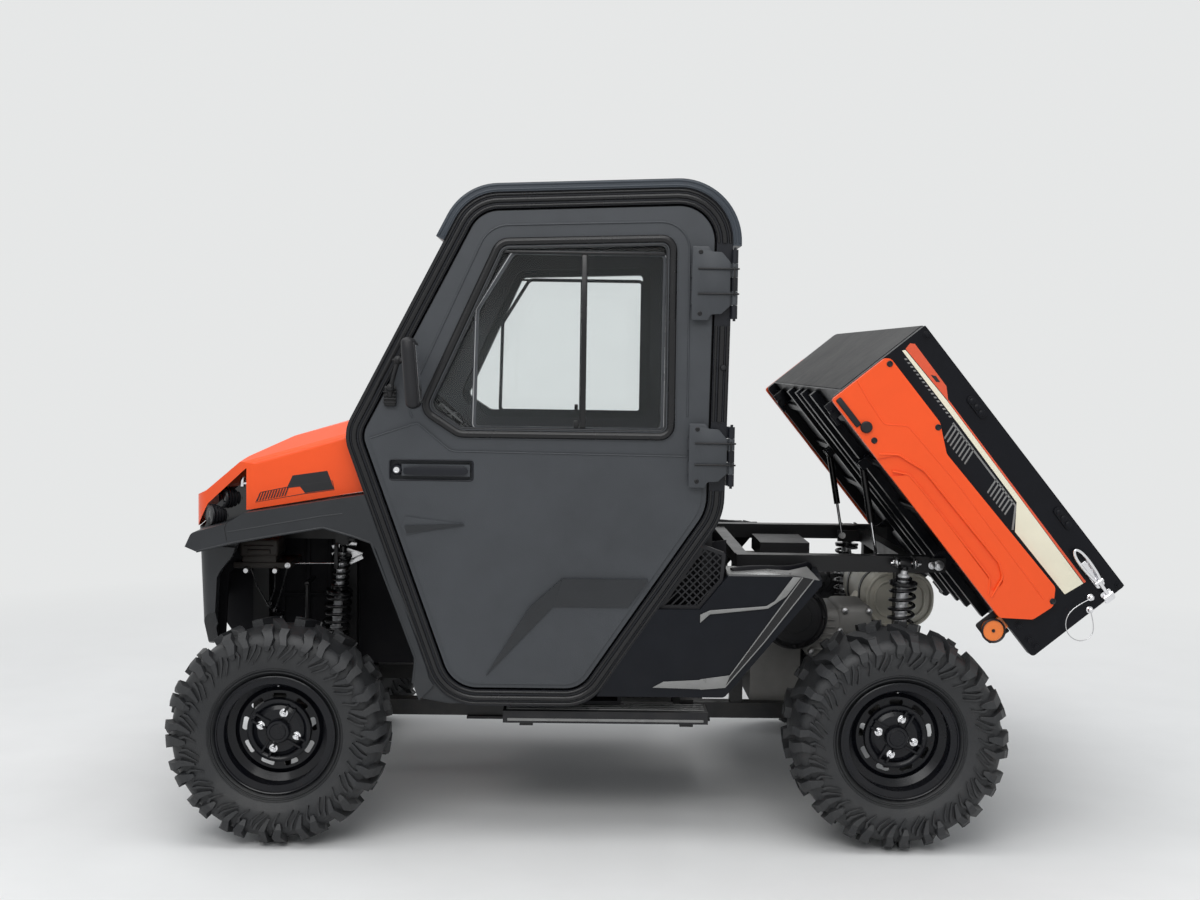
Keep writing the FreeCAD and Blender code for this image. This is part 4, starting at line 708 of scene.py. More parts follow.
def make_stage():
    """Pale floor that takes the object's shadow and fades into the backdrop further out."""
    bm = bmesh.new()
    bmesh.ops.create_grid(bm, x_segments=1, y_segments=1, size=60.0)
    mesh = bpy.data.meshes.new("floor")
    bm.to_mesh(mesh)
    bm.free()
    floor = new_object("floor", mesh)
    material, tree, shader = new_material("pale_floor")
    place = tree.nodes.new("ShaderNodeTexCoord").outputs["Object"]
    shade = noise(tree, place, 3.0, 5.0)
    colour = blend_colours(tree, shade, (0.76, 0.76, 0.75), (0.84, 0.84, 0.83))
    link(tree, colour, shader.inputs["Base Color"])
    shader.inputs["Roughness"].default_value = 0.8
    length = tree.nodes.new("ShaderNodeVectorMath")
    length.operation = "LENGTH"
    link(tree, place, length.inputs[0])
    far = spread(tree, length.outputs["Value"], 2.0, 5.0)
    glow = tree.nodes.new("ShaderNodeEmission")
    glow.inputs["Color"].default_value = BACKDROP
    mix = tree.nodes.new("ShaderNodeMixShader")
    link(tree, math_node(tree, "MULTIPLY", far, background_rays(tree)), mix.inputs["Fac"])
    link(tree, shader.outputs[0], mix.inputs[1])
    link(tree, glow.outputs[0], mix.inputs[2])
    link(tree, mix.outputs[0], tree.nodes["Material Output"].inputs["Surface"])
    mesh.materials.append(material)


def make_world():
    """Soft even light all round, with the pale backdrop where the camera looks past the object."""
    world = bpy.data.worlds.new("studio")
    bpy.context.scene.world = world
    world.use_nodes = True
    tree = world.node_tree
    tree.nodes.clear()
    output = tree.nodes.new("ShaderNodeOutputWorld")
    light = tree.nodes.new("ShaderNodeBackground")
    light.inputs["Color"].default_value = (0.88, 0.91, 0.95, 1.0)
    light.inputs["Strength"].default_value = 0.62
    backdrop = tree.nodes.new("ShaderNodeBackground")
    backdrop.inputs["Color"].default_value = BACKDROP
    mix = tree.nodes.new("ShaderNodeMixShader")
    link(tree, background_rays(tree), mix.inputs["Fac"])
    link(tree, light.outputs[0], mix.inputs[1])
    link(tree, backdrop.outputs[0], mix.inputs[2])
    link(tree, mix.outputs[0], output.inputs["Surface"])


def add_light(name, place, target, size, power):
    """A rectangular lamp that faces a place."""
    lamp = bpy.data.lights.new(name, "AREA")
    lamp.shape = "RECTANGLE"
    lamp.size, lamp.size_y = size
    lamp.energy = power
    holder = new_object(name, lamp)
    holder.location = place
    holder.rotation_mode = "QUATERNION"
    holder.rotation_quaternion = (Vector(target) - Vector(place)).to_track_quat("-Z", "Y")


LIT_PLACE = (0, 0, 0.8)
PHOTO_FOCAL_PIXELS = 1433.65
PHOTO_WIDTH_PIXELS = 1200
CAMERA_PLACE = (-0.204, -4.835, 1.413)
CAMERA_YAW, CAMERA_PITCH, CAMERA_ROLL = (math.radians(value) for value in (0.987, 3.596, -0.852))


def make_camera():
    """The photograph's viewpoint: nearly square to the left side at eye height."""
    data = bpy.data.cameras.new("photo_camera")
    data.sensor_width = 36.0
    data.lens = PHOTO_FOCAL_PIXELS * data.sensor_width / PHOTO_WIDTH_PIXELS
    camera = new_object("photo_camera", data)
    forward = Vector((math.sin(CAMERA_YAW) * math.cos(CAMERA_PITCH),
                      math.cos(CAMERA_YAW) * math.cos(CAMERA_PITCH), -math.sin(CAMERA_PITCH)))
    level = Vector((math.cos(CAMERA_YAW), -math.sin(CAMERA_YAW), 0))
    up = level.cross(forward)
    right = level * math.cos(CAMERA_ROLL) - up * math.sin(CAMERA_ROLL)
    up = level * math.sin(CAMERA_ROLL) + up * math.cos(CAMERA_ROLL)
    turn = Matrix((right, up, -forward)).transposed().to_4x4()
    camera.matrix_world = Matrix.Translation(CAMERA_PLACE) @ turn
    bpy.context.scene.camera = camera


make_stage()
make_world()
for name, place, size, power in (
        ("overhead", (-0.6, -1.2, 4.6), (5.0, 3.0), 95),
        ("near_side", (-1.2, -5.2, 4.4), (5.0, 1.8), 130),
        ("far_side", (2.2, 4.6, 5.0), (3.0, 2.0), 75)):
    add_light(name, place, LIT_PLACE, size, power)
make_camera()
bpy.context.scene.view_settings.view_transform = "Standard"


# Tyres

TYRE_RADIUS = 0.325
LUG_HEIGHT = 0.020
LUG_PAIRS = 16
RIM_LIP_RADIUS = 0.171
WALL_INSET = 0.004
LUG_SINK = 0.010
LUG_TAPER = 0.10
TYRES = [
    ("front", -1.054, 0.682, 0.224),
    ("rear", 0.746, 0.658, 0.272),
]


def carcass_section(width):
    """Points (y, radius) of the outer half of the carcass, from the middle of the tread to the bead."""
    half = width / 2 - WALL_INSET
    tread = TYRE_RADIUS - LUG_HEIGHT
    return round_corners([
        (0.0, tread), (half, tread - 0.010, 0.050), (half + 0.001, 0.226, 0.050),
        (half - 0.016, RIM_LIP_RADIUS + 0.016, 0.010), (half - 0.030, RIM_LIP_RADIUS + 0.001)],
        0.0, 7, closed=False)


class Section:
    """A path that gives a place and an outward direction for a distance from its start."""

    def __init__(self, points):
        self.points = [Vector(point) for point in points]
        self.reach = [0.0]
        for start, end in zip(self.points, self.points[1:]):
            self.reach.append(self.reach[-1] + (end - start).length)

    def at(self, distance):
        for index in range(len(self.points) - 1):
            if distance <= self.reach[index + 1] or index == len(self.points) - 2:
                start, end = self.points[index], self.points[index + 1]
                share = (distance - self.reach[index]) / (self.reach[index + 1] - self.reach[index])
                way = (end - start).normalized()
                return start + (end - start) * share, Vector((way.y, -way.x))
        return None


def add_lug(bm, section, side, stations):
    """A lug that follows the carcass. A station is (distance, first angle, second angle, height)."""
    loops = []
    for distance, first, second, height in stations:
        place, outward = section.at(distance)
        if outward.y < 0 and outward.x < 0:
            outward = -outward
        corners = []
        narrow = (second - first) * LUG_TAPER
        for angle, level, shift in ((first, -LUG_SINK, 0), (first, height, narrow), (second, height, -narrow),
                                    (second, -LUG_SINK, 0)):
            spot = place + outward * level
            turn = math.radians(angle + shift)
            corners.append(bm.verts.new((spot.y * math.sin(turn), side * spot.x, spot.y * math.cos(turn))))
        loops.append(corners)
    edges = []
    for corners in loops:
        edges.append([bm.edges.new((corners[index], corners[(index + 1) % 4])) for index in range(4)])
    for first, second in zip(edges, edges[1:]):
        bmesh.ops.bridge_loops(bm, edges=first + second)
    for corners in (loops[0], loops[-1]):
        bm.faces.new(corners)


# Each lug is a row of stations: distance from the middle of the tread (1 is the shoulder, 2 the bead),
# first and second edge in degrees, share of the lug's height.
LUGS = [
    [(0.03, -4.8, 1.8, 1), (0.34, -2.2, 4.2, 1), (0.60, 1.2, 6.4, 1), (0.82, 2.8, 7.8, 1)],
    [(0.60, -6.4, -0.6, 1), (0.86, -7.2, -0.2, 1), (1.02, -5.2, 1.2, 1), (1.16, -6.0, -0.6, 0.85),
     (1.28, -5.2, -2.6, 0.45)],
    [(0.80, 2.8, 8.8, 1), (0.98, 2.6, 8.0, 1), (1.12, 4.2, 9.0, 0.9), (1.26, 3.0, 6.8, 0.62),
     (1.40, 1.8, 3.8, 0.25)],
    [(1.14, -2.2, 0.2, 0.46), (1.26, -1.0, 1.0, 0.42), (1.38, -2.2, -0.8, 0.32), (1.52, -5.0, -4.2, 0.10)],
    [(1.10, 10.4, 13.0, 0.46), (1.22, 9.4, 11.6, 0.42), (1.34, 7.0, 8.8, 0.34), (1.48, 3.2, 4.2, 0.10)],
    [(1.18, 13.2, 15.4, 0.42), (1.30, 12.8, 14.4, 0.36), (1.42, 10.6, 11.6, 0.26), (1.54, 7.0, 7.6, 0.08)],
]
LUG_PITCH = 360.0 / LUG_PAIRS


def lug_stations(lug, angle, half, wall):
    """A lug's stations in metres and degrees, turned to its place on the tyre."""
    stations = []
    for reach, first, second, share in lug:
        distance = half * reach if reach < 1 else half + wall * (reach - 1)
        stations.append((distance, angle + first, angle + second, LUG_HEIGHT * share))
    return stations


def build_tyre(end, side, sign, x, y, width):
    """Carcass, lugs on both shoulders, and two fine rings on each wall."""
    name = "tyre_%s_%s" % (end, side)
    section = Section(carcass_section(width))
    half = width / 2 - WALL_INSET
    wall = section.reach[-1] - half
    bm = bmesh.new()
    outer = [tuple(point) for point in section.points]
    whole = [(-across, radius) for across, radius in reversed(outer)] + outer[1:]
    bead_seat = (half - 0.044, RIM_LIP_RADIUS - 0.017)
    add_turned(bm, [(-bead_seat[0], bead_seat[1])] + whole + [bead_seat], steps=108)
    for index in range(LUG_PAIRS):
        for way, offset in ((-1, 0.0), (1, 0.5)):
            angle = (index + offset) * LUG_PITCH
            for lug in LUGS:
                add_lug(bm, section, way, lug_stations(lug, angle, half, wall))
    for radius, height in ((RIM_LIP_RADIUS + 0.012, 0.0016), (RIM_LIP_RADIUS + 0.020, 0.0012)):
        foot, crest = half - 0.018, half - 0.012 + height
        for way in (-1, 1):
            add_turned(bm, [(way * foot, radius), (way * crest, radius + 0.001),
                            (way * crest, radius + 0.003), (way * foot, radius + 0.004)], steps=72)
    place = Matrix.Translation((x, sign * y, TYRE_RADIUS))
    piece = finish_piece(bm, name + "_tread", "rubber", "wheel_%s_%s" % (end, side),
                         34.0, place)
    rounding = piece.modifiers.new("edges", "BEVEL")
    rounding.width = 0.0018
    rounding.segments = 1
    rounding.limit_method = "ANGLE"
    rounding.angle_limit = math.radians(38)
    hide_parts(name)


for end, x, y, width in TYRES:
    for side, sign in SIDES:
        build_tyre(end, side, sign, x, y, width)


# Door and cab

DOOR = [(-812, 1190, 60), (-482, 1828, 90), (185, 1856, 100), (173, 985, 130), (-182, 463, 80),
        (-549, 463, 100)]
WINDOW = [(76, 1770, 42), (78, 1187, 42), (-540, 1187, 60), (-655, 1262, 50), (-432, 1752, 50)]
SLIDER = [(52, 1722, 20), (52, 1207, 20), (-503, 1207, 20), (-496, 1552, 30), (-392, 1722, 30)]
HINGES = [(1534, 1730), (1057, 1228)]
HINGE_AXIS = (241, -758)
LOCK_SPOT = (-714, 1091)
MIRROR_LEAN = 0.085
MIRROR_MIDDLE_Z = 1369
RING_FACE = -737
DOOR_FACE = -735
SKIN_FACE = -739
PRESSED_FACE = -743


def away_from_hinges(point):
    """True where the door's seals are not cut by a hinge."""
    x, _, z = point
    return not (x > 110 and any(low - 10 < z < high + 10 for low, high in HINGES))


def build_door_seals():
    """Tubes on the door frame, broken behind the hinge straps."""
    for name, distance, radius in (("inner", 13, 4.5), ("middle", 30, 8.0), ("outer", 46, 4.5)):
        line = divided(around(offset_outline(DOOR, distance), RING_FACE), 18.0)
        for index, run in enumerate(open_runs(line, away_from_hinges)):
            bead("seal_%s_%d" % (name, index), run, radius, "seal_rubber", "chassis")


def build_window_trim():
    """Window rubber and its lip, the slider's pale line, and a pressed border on the door."""
    for name, distance, y, radius, sides in (("rubber", -9, DOOR_FACE, 12, 4), ("lip", -25, -734, 4.5, 3)):
        bead("window_" + name, around(offset_outline(WINDOW, distance), y), radius, "seal_rubber", "door_*",
             closed=True, sides=sides)
    bead("slider_line", around(offset_outline(SLIDER, -3.5), -727), 1.1, "alloy", "door_*",
         closed=True, sides=2)
    border = divided(around(offset_outline(WINDOW, 38), DOOR_FACE), 25.0)
    for index, run in enumerate(open_runs(border, lambda point: point[2] > 1235)):
        bead("window_border_%d" % index, run, 3.0, "cab_plastic", "door_*")

    def rails(bm):
        add_box(bm, (-488, -733, 1200), (45, -724, 1211), 2)
        add_box(bm, (-470, -733, 1712), (45, -726, 1720), 2)
        add_box(bm, (-192, -730, 1214), (-176, -724, 1712), 2.5)
        add_box(bm, (-210, -731, 1216), (-196, -723, 1240), 3)

    both_sides("slider_rails", "seal_rubber", "door_*", rails)


def build_handle():
    """Recess rim, paddle and lock of the door handle."""
    cup = rounded_rectangle((-734, 1062), (-496, 1120), 8, 5)
    bead("handle_rim", at_depth(cup, SKIN_FACE), 2.2, "ring_black", "door_*", closed=True)

    def paddle(bm):
        shape = [(-694, 1098, 6), (-640, 1104, 14), (-520, 1102, 10), (-506, 1090, 8), (-520, 1078, 10),
                 (-640, 1076, 14), (-694, 1080, 6)]
        add_plate(bm, round_corners(shape, 0, 4), -738, -748, 3)
        add_knob(bm, LOCK_SPOT, [(-718, 16), (-738, 16), (-742, 13)], 28)

    both_sides("handle_paddle", "ring_black", "door_*", paddle)

    def lock(bm):
        add_knob(bm, LOCK_SPOT, [(-741, 10), (-744, 10), (-746, 8.5), (-746, 5), (-743.5, 4.5)], 28)
        add_box(bm, (-715, -745, 1087.5), (-713, -743, 1094.5), 0.4)

    both_sides("handle_lock", "chrome", "door_*", lock)


def add_facet(bm, outline, face, foot, way, rise):
    """A flat wedge on a face that rises away from a line through its foot."""
    made = add_plate(bm, outline, face + 1, face - 0.5)
    for vert in made:
        if vert.co.y < face:
            vert.co.y -= rise * max((vert.co.x - foot[0]) * way[0] + (vert.co.z - foot[1]) * way[1], 0)


def build_door_facets():
    """The pressed wedges face the ground and take the darker fender plastic as painted shade, so they look
    darker than the skin.
    """
    def facets(bm):
        for outline, foot, way, rise in (
                ([(-262, 702), (-236, 784), (10, 784), (-46, 702)], (-262, 702), (0, 1), 0.10),
                ([(-452, 500), (-330, 700), (-236, 784), (-262, 702)], (-452, 500), (-0.729, 0.686), 0.18),
                ([(-690, 932), (-520, 938), (-684, 908)], (-684, 908), (0, 1), 0.2)):
            add_facet(bm, outline, PRESSED_FACE, foot, way, rise)

    # The wedges' darker colour is painted shade; the door itself is charcoal.
    both_sides("door_facets", "fender_plastic_and_shade", "door_*", facets, sharp=10.0)
    step = round_corners([(-788, 1181), (-656, 1226, 20), (-560, 1146, 40), (112, 1140)], 0, 6, closed=False)
    bead("door_step", at_depth(step, SKIN_FACE), 2.4, "cab_plastic", "door_*")


def build_hinges():
    """Hinge leaves with their spacers, the wire straps, screws and the ring's knob."""
    axis_x, axis_y = HINGE_AXIS

    def plates(bm):
        for low, high in HINGES:
            middle = (low + high) / 2
            half = (high - low) / 2
            shape = [(120, middle - half - 4, 4), (120, middle + half + 8, 4), (166, middle + half + 8, 4),
                     (174, middle + half - 6, 8), (204, middle + half - 8, 8), (228, middle + half - 36, 6),
                     (228, middle - half + 36, 6), (204, middle - half + 14, 8), (174, middle - half + 12, 8),
                     (166, middle - half - 4, 4)]
            add_plate(bm, round_corners(shape, 0, 3), -756.5, -762, 1.6)
            spacer = rounded_rectangle((124, middle - half), (162, middle + half + 2), 4, 3)
            add_plate(bm, spacer, -734, -757, 1.6)

    both_sides("hinge_plates", "cab_plastic", "door_*", plates)

    def wires(bm):
        for low, high in HINGES:
            for share in (0.36, 0.72):
                z = low + (high - low) * share
                add_rod(bm, (136, axis_y - 7, z), (axis_x + 12, axis_y - 12, z), 2.6, 12, 0.8)
            foot, top = low + (high - low) * 0.33, low + (high - low) * 0.75
            add_rod(bm, (axis_x - 2, axis_y - 13, foot), (axis_x - 2, axis_y - 13, top), 2.2, 12, 0.6)

    both_sides("hinge_wires", "frame_black", "door_*", wires)

    def screws(bm):
        for low, high in HINGES:
            for z in (low + 14, high - 8):
                add_screw(bm, (143, -761, z), 6.5)

    both_sides("hinge_screws", "frame_black", "door_*", screws)

    def knob(bm):
        add_turned(bm, [(-735, AXIS_RADIUS), (-735, 9), (-746, 9), (-752, 7), (-753, AXIS_RADIUS)],
                   (214, 0, 1396), steps=24)

    both_sides("ring_knob", "black_plastic", "chassis", knob)


def build_mirror():
    """Rounded shell, glass, and the jointed arm on its bracket."""
    lean = Matrix.Identity(4)
    lean[0][2] = -MIRROR_LEAN
    lean[0][3] = MIRROR_LEAN * MIRROR_MIDDLE_Z
    shoulder, elbow, wrist = (-730, -762, 1326), (-708, -768, 1404), (-674, -802, 1404)

    def head(bm):
        made = add_box(bm, (-682, -898, 1270), (-642, -796, 1468), 19, 5)
        bmesh.ops.smooth_vert(bm, verts=made, factor=0.5, use_axis_x=True, use_axis_y=True, use_axis_z=True)
        made += add_box(bm, (-664, -888, 1284), (-640.5, -806, 1454), 4, 3)
        bmesh.ops.transform(bm, matrix=lean, verts=made)

    heads = both_sides("mirror_head", "black_plastic", "door_*", head)
    for (side, _), piece in zip(SIDES, heads):
        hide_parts("mirror_" + side)

    def pane(bm):
        made = add_box(bm, (-645, -880, 1292), (-640.2, -814, 1446), 0.3, 1)
        bmesh.ops.transform(bm, matrix=lean, verts=made)

    both_sides("mirror_pane", "chrome", "door_*", pane)

    def arm(bm):
        add_box(bm, (-750, -752, 1272), (-716, SKIN_FACE + 5, 1326), 6, 3)
        for z in (1282, 1292, 1302, 1312):
            add_box(bm, (-752, -757, z), (-714, -748, z + 4), 1.5)
        add_rod(bm, (-733, -750, 1300), shoulder, 8, 20, 2)
        add_rod(bm, shoulder, elbow, 6.5, 20, 1.5)
        add_rod(bm, elbow, wrist, 6.5, 20, 1.5)
        for place, radius in ((shoulder, 12), (elbow, 13), ((-674, -800, 1403), 10)):
            bmesh.ops.create_uvsphere(bm, u_segments=20, v_segments=12, radius=radius,
                                      matrix=Matrix.Translation(place))
        add_rod(bm, (-724, -768, 1404), (-692, -768, 1404), 5, 6, 1)
        add_rod(bm, (-746, -762, 1326), (-714, -762, 1326), 5, 6, 1)

    both_sides("mirror_arm", "frame_black", "door_*", arm)


def build_roof_trim():
    """Two beads under the roof's edge."""
    for name, distance, radius in (("low", 59, 4.0), ("high", 72, 4.5)):
        line = divided(around(offset_outline(DOOR, distance), PRESSED_FACE), 30.0)
        run = open_runs(line, lambda point: point[2] > 1748)[0]
        bead("roof_edge_" + name, run, radius, "roof_plastic", "chassis")


build_door_seals()
build_window_trim()
build_handle()
build_door_facets()
build_hinges()
build_mirror()
build_roof_trim()


# Front body

HOOD_FACE = -684
FENDER_FACE = -740


def add_film(bm, outline, face, thick=0.5):
    """A decal's shape, sunk a little into a face."""
    add_plate(bm, outline, face + 0.2, face - thick)


def build_hood_decals():
    """Plain grey shape and slanting bars on the hood's side."""
    def grey(bm):
        panel = [(-1038, 1029), (-1021, 1066), (-921, 1081), (-901, 1028), (-985, 1016), (-1000, 1034)]
        add_film(bm, panel, HOOD_FACE, 0.8)
        for index in range(11):
            x, z = -1125 + 8 * index, 990 + 18 * index / 11.0
            add_film(bm, [(x, z), (x + 9, z + 24), (x + 12.6, z + 25), (x + 3.6, z + 1)], HOOD_FACE, 2.2)

    both_sides("hood_marks", "grey_film", "chassis", grey)
    frame_line = [(-1128, 987), (-1113, 1016), (-1038, 1032), (-906, 1052), (-901, 1026), (-985, 1014)]
    bead("hood_mark_line", at_depth(frame_line, HOOD_FACE), 1.1, "grey_film", "chassis",
         closed=True, sides=2)


def build_lamp_pieces():
    """Ribbed lamp barrels with their lenses, and a small marker."""
    axis = Vector((-40, -30, 0)).normalized()
    turn = Vector((0, -1, 0)).rotation_difference(axis).to_matrix().to_4x4()

    def turned_at_lamps(bm, profile, steps):
        for x, z in ((-1262, 938), (-1222, 990)):
            made = add_turned(bm, profile, steps=steps)
            bmesh.ops.transform(bm, matrix=Matrix.Translation((x + 4, -578, z)) @ turn, verts=made)

    def barrels(bm):
        profile = [(30, AXIS_RADIUS), (30, 22)]
        for ring in range(6):
            start = 27 - ring * 9
            profile += [(start, 32), (start - 4, 32), (start - 5, 26), (start - 8, 26)]
        profile += [(-28, 31), (-33, 29), (-33, 24), (-27, 23), (-25, AXIS_RADIUS)]
        turned_at_lamps(bm, profile, 36)

    both_sides("lamp_barrels", "black_plastic", "chassis", barrels)

    def lenses(bm):
        profile = [(-24, 23), (-28, 19), (-31, 10), (-31.6, AXIS_RADIUS), (-22, AXIS_RADIUS), (-22, 23)]
        turned_at_lamps(bm, profile, 32)

    both_sides("lamp_lenses", "lamp_lens", "chassis", lenses)

    def marker(bm):
        add_box(bm, (-1192, -600, 1022), (-1180, -585, 1054), 3, 3)
        add_box(bm, (-1186, -600, 1030), (-1172, -590, 1038), 2, 2)

    both_sides("lamp_marker", "chrome", "chassis", marker)


def build_fender_trim():
    """Rolled lip, ridges and the seam of the fender."""
    lip = [(-1285, 849), (-1178, 876), (-1087, 893), (-924, 922), (-836, 897), (-786, 880), (-722, 716),
           (-657, 545), (-664, 474)]
    fender_ridge = [(-1196, 905), (-1086, 925), (-924, 955), (-868, 962)]
    guard_ridge = [(-760, 872), (-634, 566), (-624, 530)]
    seam = [(-1199, 931), (-1204, 916), (-1198, 879)]
    for name, line, sink, radius, finish, slot in (
            ("fender_lip", lip, 2, 4.0, "fender_plastic_and_shade", "cab_plastic"),
            ("fender_seam", seam, 0.4, 1.2, "seal_rubber", "ring_black"),
            ("fender_ridge", fender_ridge, 2.2, 3.2, "fender_plastic_and_shade", "cab_plastic"),
            ("guard_ridge", guard_ridge, 2.2, 3.2, "fender_plastic_and_shade", "cab_plastic")):
        bead(name, at_depth(line, FENDER_FACE + sink), radius, finish, "chassis")


def build_arch_fittings():
    """What shows in the front wheel arch: liner, winch box, its rollers and hoses, stays and brackets."""
    def liner(bm):
        wall = [(-1226, 425), (-1262, 500), (-1300, 518), (-1328, 560), (-1330, 850), (-1180, 892),
                (-845, 892), (-700, 560), (-640, 425)]
        flap = [(-1298, 545), (-1318, 600), (-1322, 850), (-1206, 866), (-1210, 800), (-1262, 740),
                (-1272, 560)]
        add_plate(bm, wall, -231, -227)
        add_plate(bm, flap, -446, -438)
        for x in (-1140, -1060, -990):
            add_box(bm, (x - 9, -237, 440), (x + 9, -230, 860), 3)
        add_box(bm, (-1200, -239, 640), (-900, -230, 652), 3)

    both_sides("arch_liner", "liner", "chassis", liner)

    def winch(bm):
        add_box(bm, (-1244, -470, 762), (-1068, -285, 781), 4, 2)
        add_box(bm, (-1222, -480, 800), (-1106, -385, 852), 8, 3)
        add_box(bm, (-1216, -474, 781), (-1112, -390, 803), 4, 2)
        add_box(bm, (-1200, -486, 806), (-1128, -478, 822), 4, 2)
        add_rod(bm, (-1208, -482, 832), (-1120, -482, 832), 3, 12, 1)

    both_sides("winch_box", "winch_brown", "chassis", winch)

    def rollers(bm):
        for x in (-1202, -1114):
            add_knob(bm, (x, 757), [(-455, 7), (-460, 9), (-484, 9), (-488, 7)], 24)
        add_rod(bm, (-1070, -430, 773), (-935, -430, 775), 2.0, 12, 0.4)
        add_bolt(bm, (-1078, -470, 772), 6, 9)

    both_sides("winch_rollers", "alloy", "chassis", rollers)

    def stay(bm):
        add_box(bm, (-942, -440, 760), (-930, -418, 836), 3, 2)
        add_box(bm, (-905, -425, 842), (-880, -330, 856), 3, 2)
        add_box(bm, (-1040, -400, 700), (-1026, -285, 712), 3, 2)
        add_rod(bm, (-1033, -392, 706), (-1033, -392, 560), 6, 14, 2)

    both_sides("shock_stay", "frame_black", "chassis", stay)

    def fins(bm):
        comb = [(-926, 849), (-914, 866), (-902, 871), (-869, 871), (-862, 860), (-880, 856), (-884, 850),
                (-862, 846), (-866, 838), (-892, 838), (-896, 832), (-844, 817), (-852, 800), (-920, 778),
                (-929, 786), (-905, 800), (-909, 808), (-937, 805), (-941, 815), (-912, 822), (-914, 830),
                (-937, 827), (-941, 838), (-918, 842)]
        add_plate(bm, comb, -340, -348, 1.2)
        add_plate(bm, [(-925, 776), (-848, 812), (-842, 800), (-918, 762)], -334, -354, 1.5)
        nearer = Matrix.Translation((6.6, 0, -46.2)) @ Matrix.Diagonal((1.033, 1, 1.033, 1))
        bmesh.ops.transform(bm, matrix=nearer, verts=bm.verts)

    both_sides("finned_bracket", "alloy", "chassis", fins)

    def hoses(bm):
        for start, middle, end in (((-1196, -452, 764), (-1176, -440, 700), (-1146, -420, 640)),
                                   ((-1120, -452, 764), (-1122, -440, 700), (-1146, -420, 636)),
                                   ((-1082, -452, 764), (-1100, -440, 700), (-1128, -420, 620))):
            add_rod(bm, start, middle, 2.6, 12, 0.5)
            add_rod(bm, middle, end, 2.6, 12, 0.5)
        add_rod(bm, (-1146, -420, 646), (-1146, -290, 600), 9, 18, 2)
        add_rod(bm, (-1128, -420, 626), (-1128, -290, 590), 7, 18, 2)

    both_sides("arch_stays", "spring_black", "chassis", hoses)

    def foot(bm):
        plate = [(-664, 545), (-652, 430), (-560, 414), (-500, 414), (-560, 440), (-620, 560)]
        add_plate(bm, plate, -700, -732, 3)

    both_sides("guard_foot", "fender_plastic_and_shade", "chassis", foot)


def build_front_face():
    """Mesh behind the louvres and the tow loop of the front mask."""
    def mesh(bm):
        for index in range(-9, 10):
            y = index * 32
            add_rod(bm, (-1346, y - 36, 685), (-1352, y + 36, 842), 2.0, 6)
            add_rod(bm, (-1346, y + 36, 685), (-1352, y - 36, 842), 2.0, 6)

    single("front_mesh", "black_plastic", "chassis", mesh)

    def loop(bm):
        add_box(bm, (-1290, -60, 590), (-1210, 60, 640), 6, 3)
        for y in (-40, 40):
            add_rod(bm, (-1286, y, 615), (-1330, y, 612), 8, 16, 2)
        add_rod(bm, (-1330, -46, 612), (-1330, 46, 612), 8, 16, 2)

    single("tow_loop", "frame_black", "chassis", loop)


build_hood_decals()
build_lamp_pieces()
build_fender_trim()
build_arch_fittings()
build_front_face()


# Springs, engine and exhaust

COIL_STEPS = 20
DAMPER_RINGS = (0.38, 0.47, 0.56, 0.65, 0.74)


def along_axis(foot, top):
    """Places a piece that was made along +Z on the line from foot to top."""
    foot, top = Vector(foot), Vector(top)
    turn = Vector((0, 0, 1)).rotation_difference(top - foot).to_matrix().to_4x4()
    return Matrix.Translation(foot) @ turn


def coil_points(radius, low, high, turns):
    """A steel spring's wire with flat end turns."""
    count = int(turns * COIL_STEPS)
    points = []
    for index in range(count + 1):
        angle = 2 * math.pi * index / COIL_STEPS
        share = min(max((index - 14) / (count - 28), 0.0), 1.0)
        points.append((radius * math.cos(angle), radius * math.sin(angle), low + (high - low) * share))
    return points


def stand_up(bm):
    """Turns what was made along -Y to stand along +Z."""
    bmesh.ops.rotate(bm, verts=bm.verts, cent=(0, 0, 0), matrix=Matrix.Rotation(math.radians(-90), 3, "X"))


def build_coilover(end, foot, top, springs, body_radius, collars):
    """Damper, its collars and one or two springs. Lengths are shares of the whole."""
    line = along_axis(foot, top)
    length = (Vector(top) - Vector(foot)).length
    tube = [(0.10, AXIS_RADIUS), (0.10, 15), (0.14, 20), (0.30, 20), (0.31, body_radius), (0.90, body_radius),
            (0.91, 10), (0.97, 10), (0.97, AXIS_RADIUS)]
    for side, sign in SIDES:
        place = place_of(sign) @ line
        bm = bmesh.new()
        add_turned(bm, [(-share * length, radius) for share, radius in tube], steps=32)
        for share in DAMPER_RINGS:
            low = -share * length
            add_turned(bm, [(low, body_radius - 1), (low - 2, body_radius + 2), (low - 6, body_radius + 2),
                            (low - 8, body_radius - 1)], steps=32)
        stand_up(bm)
        name = "damper_%s_%s" % (end, side)
        damper = finish_piece(bm, name, "damper_metal", "chassis", 30, place)
        bm = bmesh.new()
        for share, radius, thick in collars:
            low = -share * length
            add_turned(bm, [(low, 12), (low, radius - 2), (low - 2, radius), (low - thick + 2, radius),
                            (low - thick, radius - 2), (low - thick, 12)], steps=40)
        stand_up(bm)
        add_rod(bm, (-12, 0, 6), (12, 0, 6), 13, 24, 2)
        add_rod(bm, (0, 0, 8), (0, 0, 0.12 * length), 10, 20, 1)
        add_rod(bm, (0, 0, 0.94 * length), (0, 0, length - 2), 12, 20, 1)
        finish_piece(bm, "perches_%s_%s" % (end, side), "spring_black", "chassis", 30, place)
        for index, (radius, wire, low, high, turns) in enumerate(springs):
            points = coil_points(radius, low * length, high * length, turns)
            swept("spring_%s_%s_%d" % (end, side, index), points, wire, "spring_black", "chassis",
                  sides=3, transform=place)
        if side == "left":
            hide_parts("coilovers_" + end)


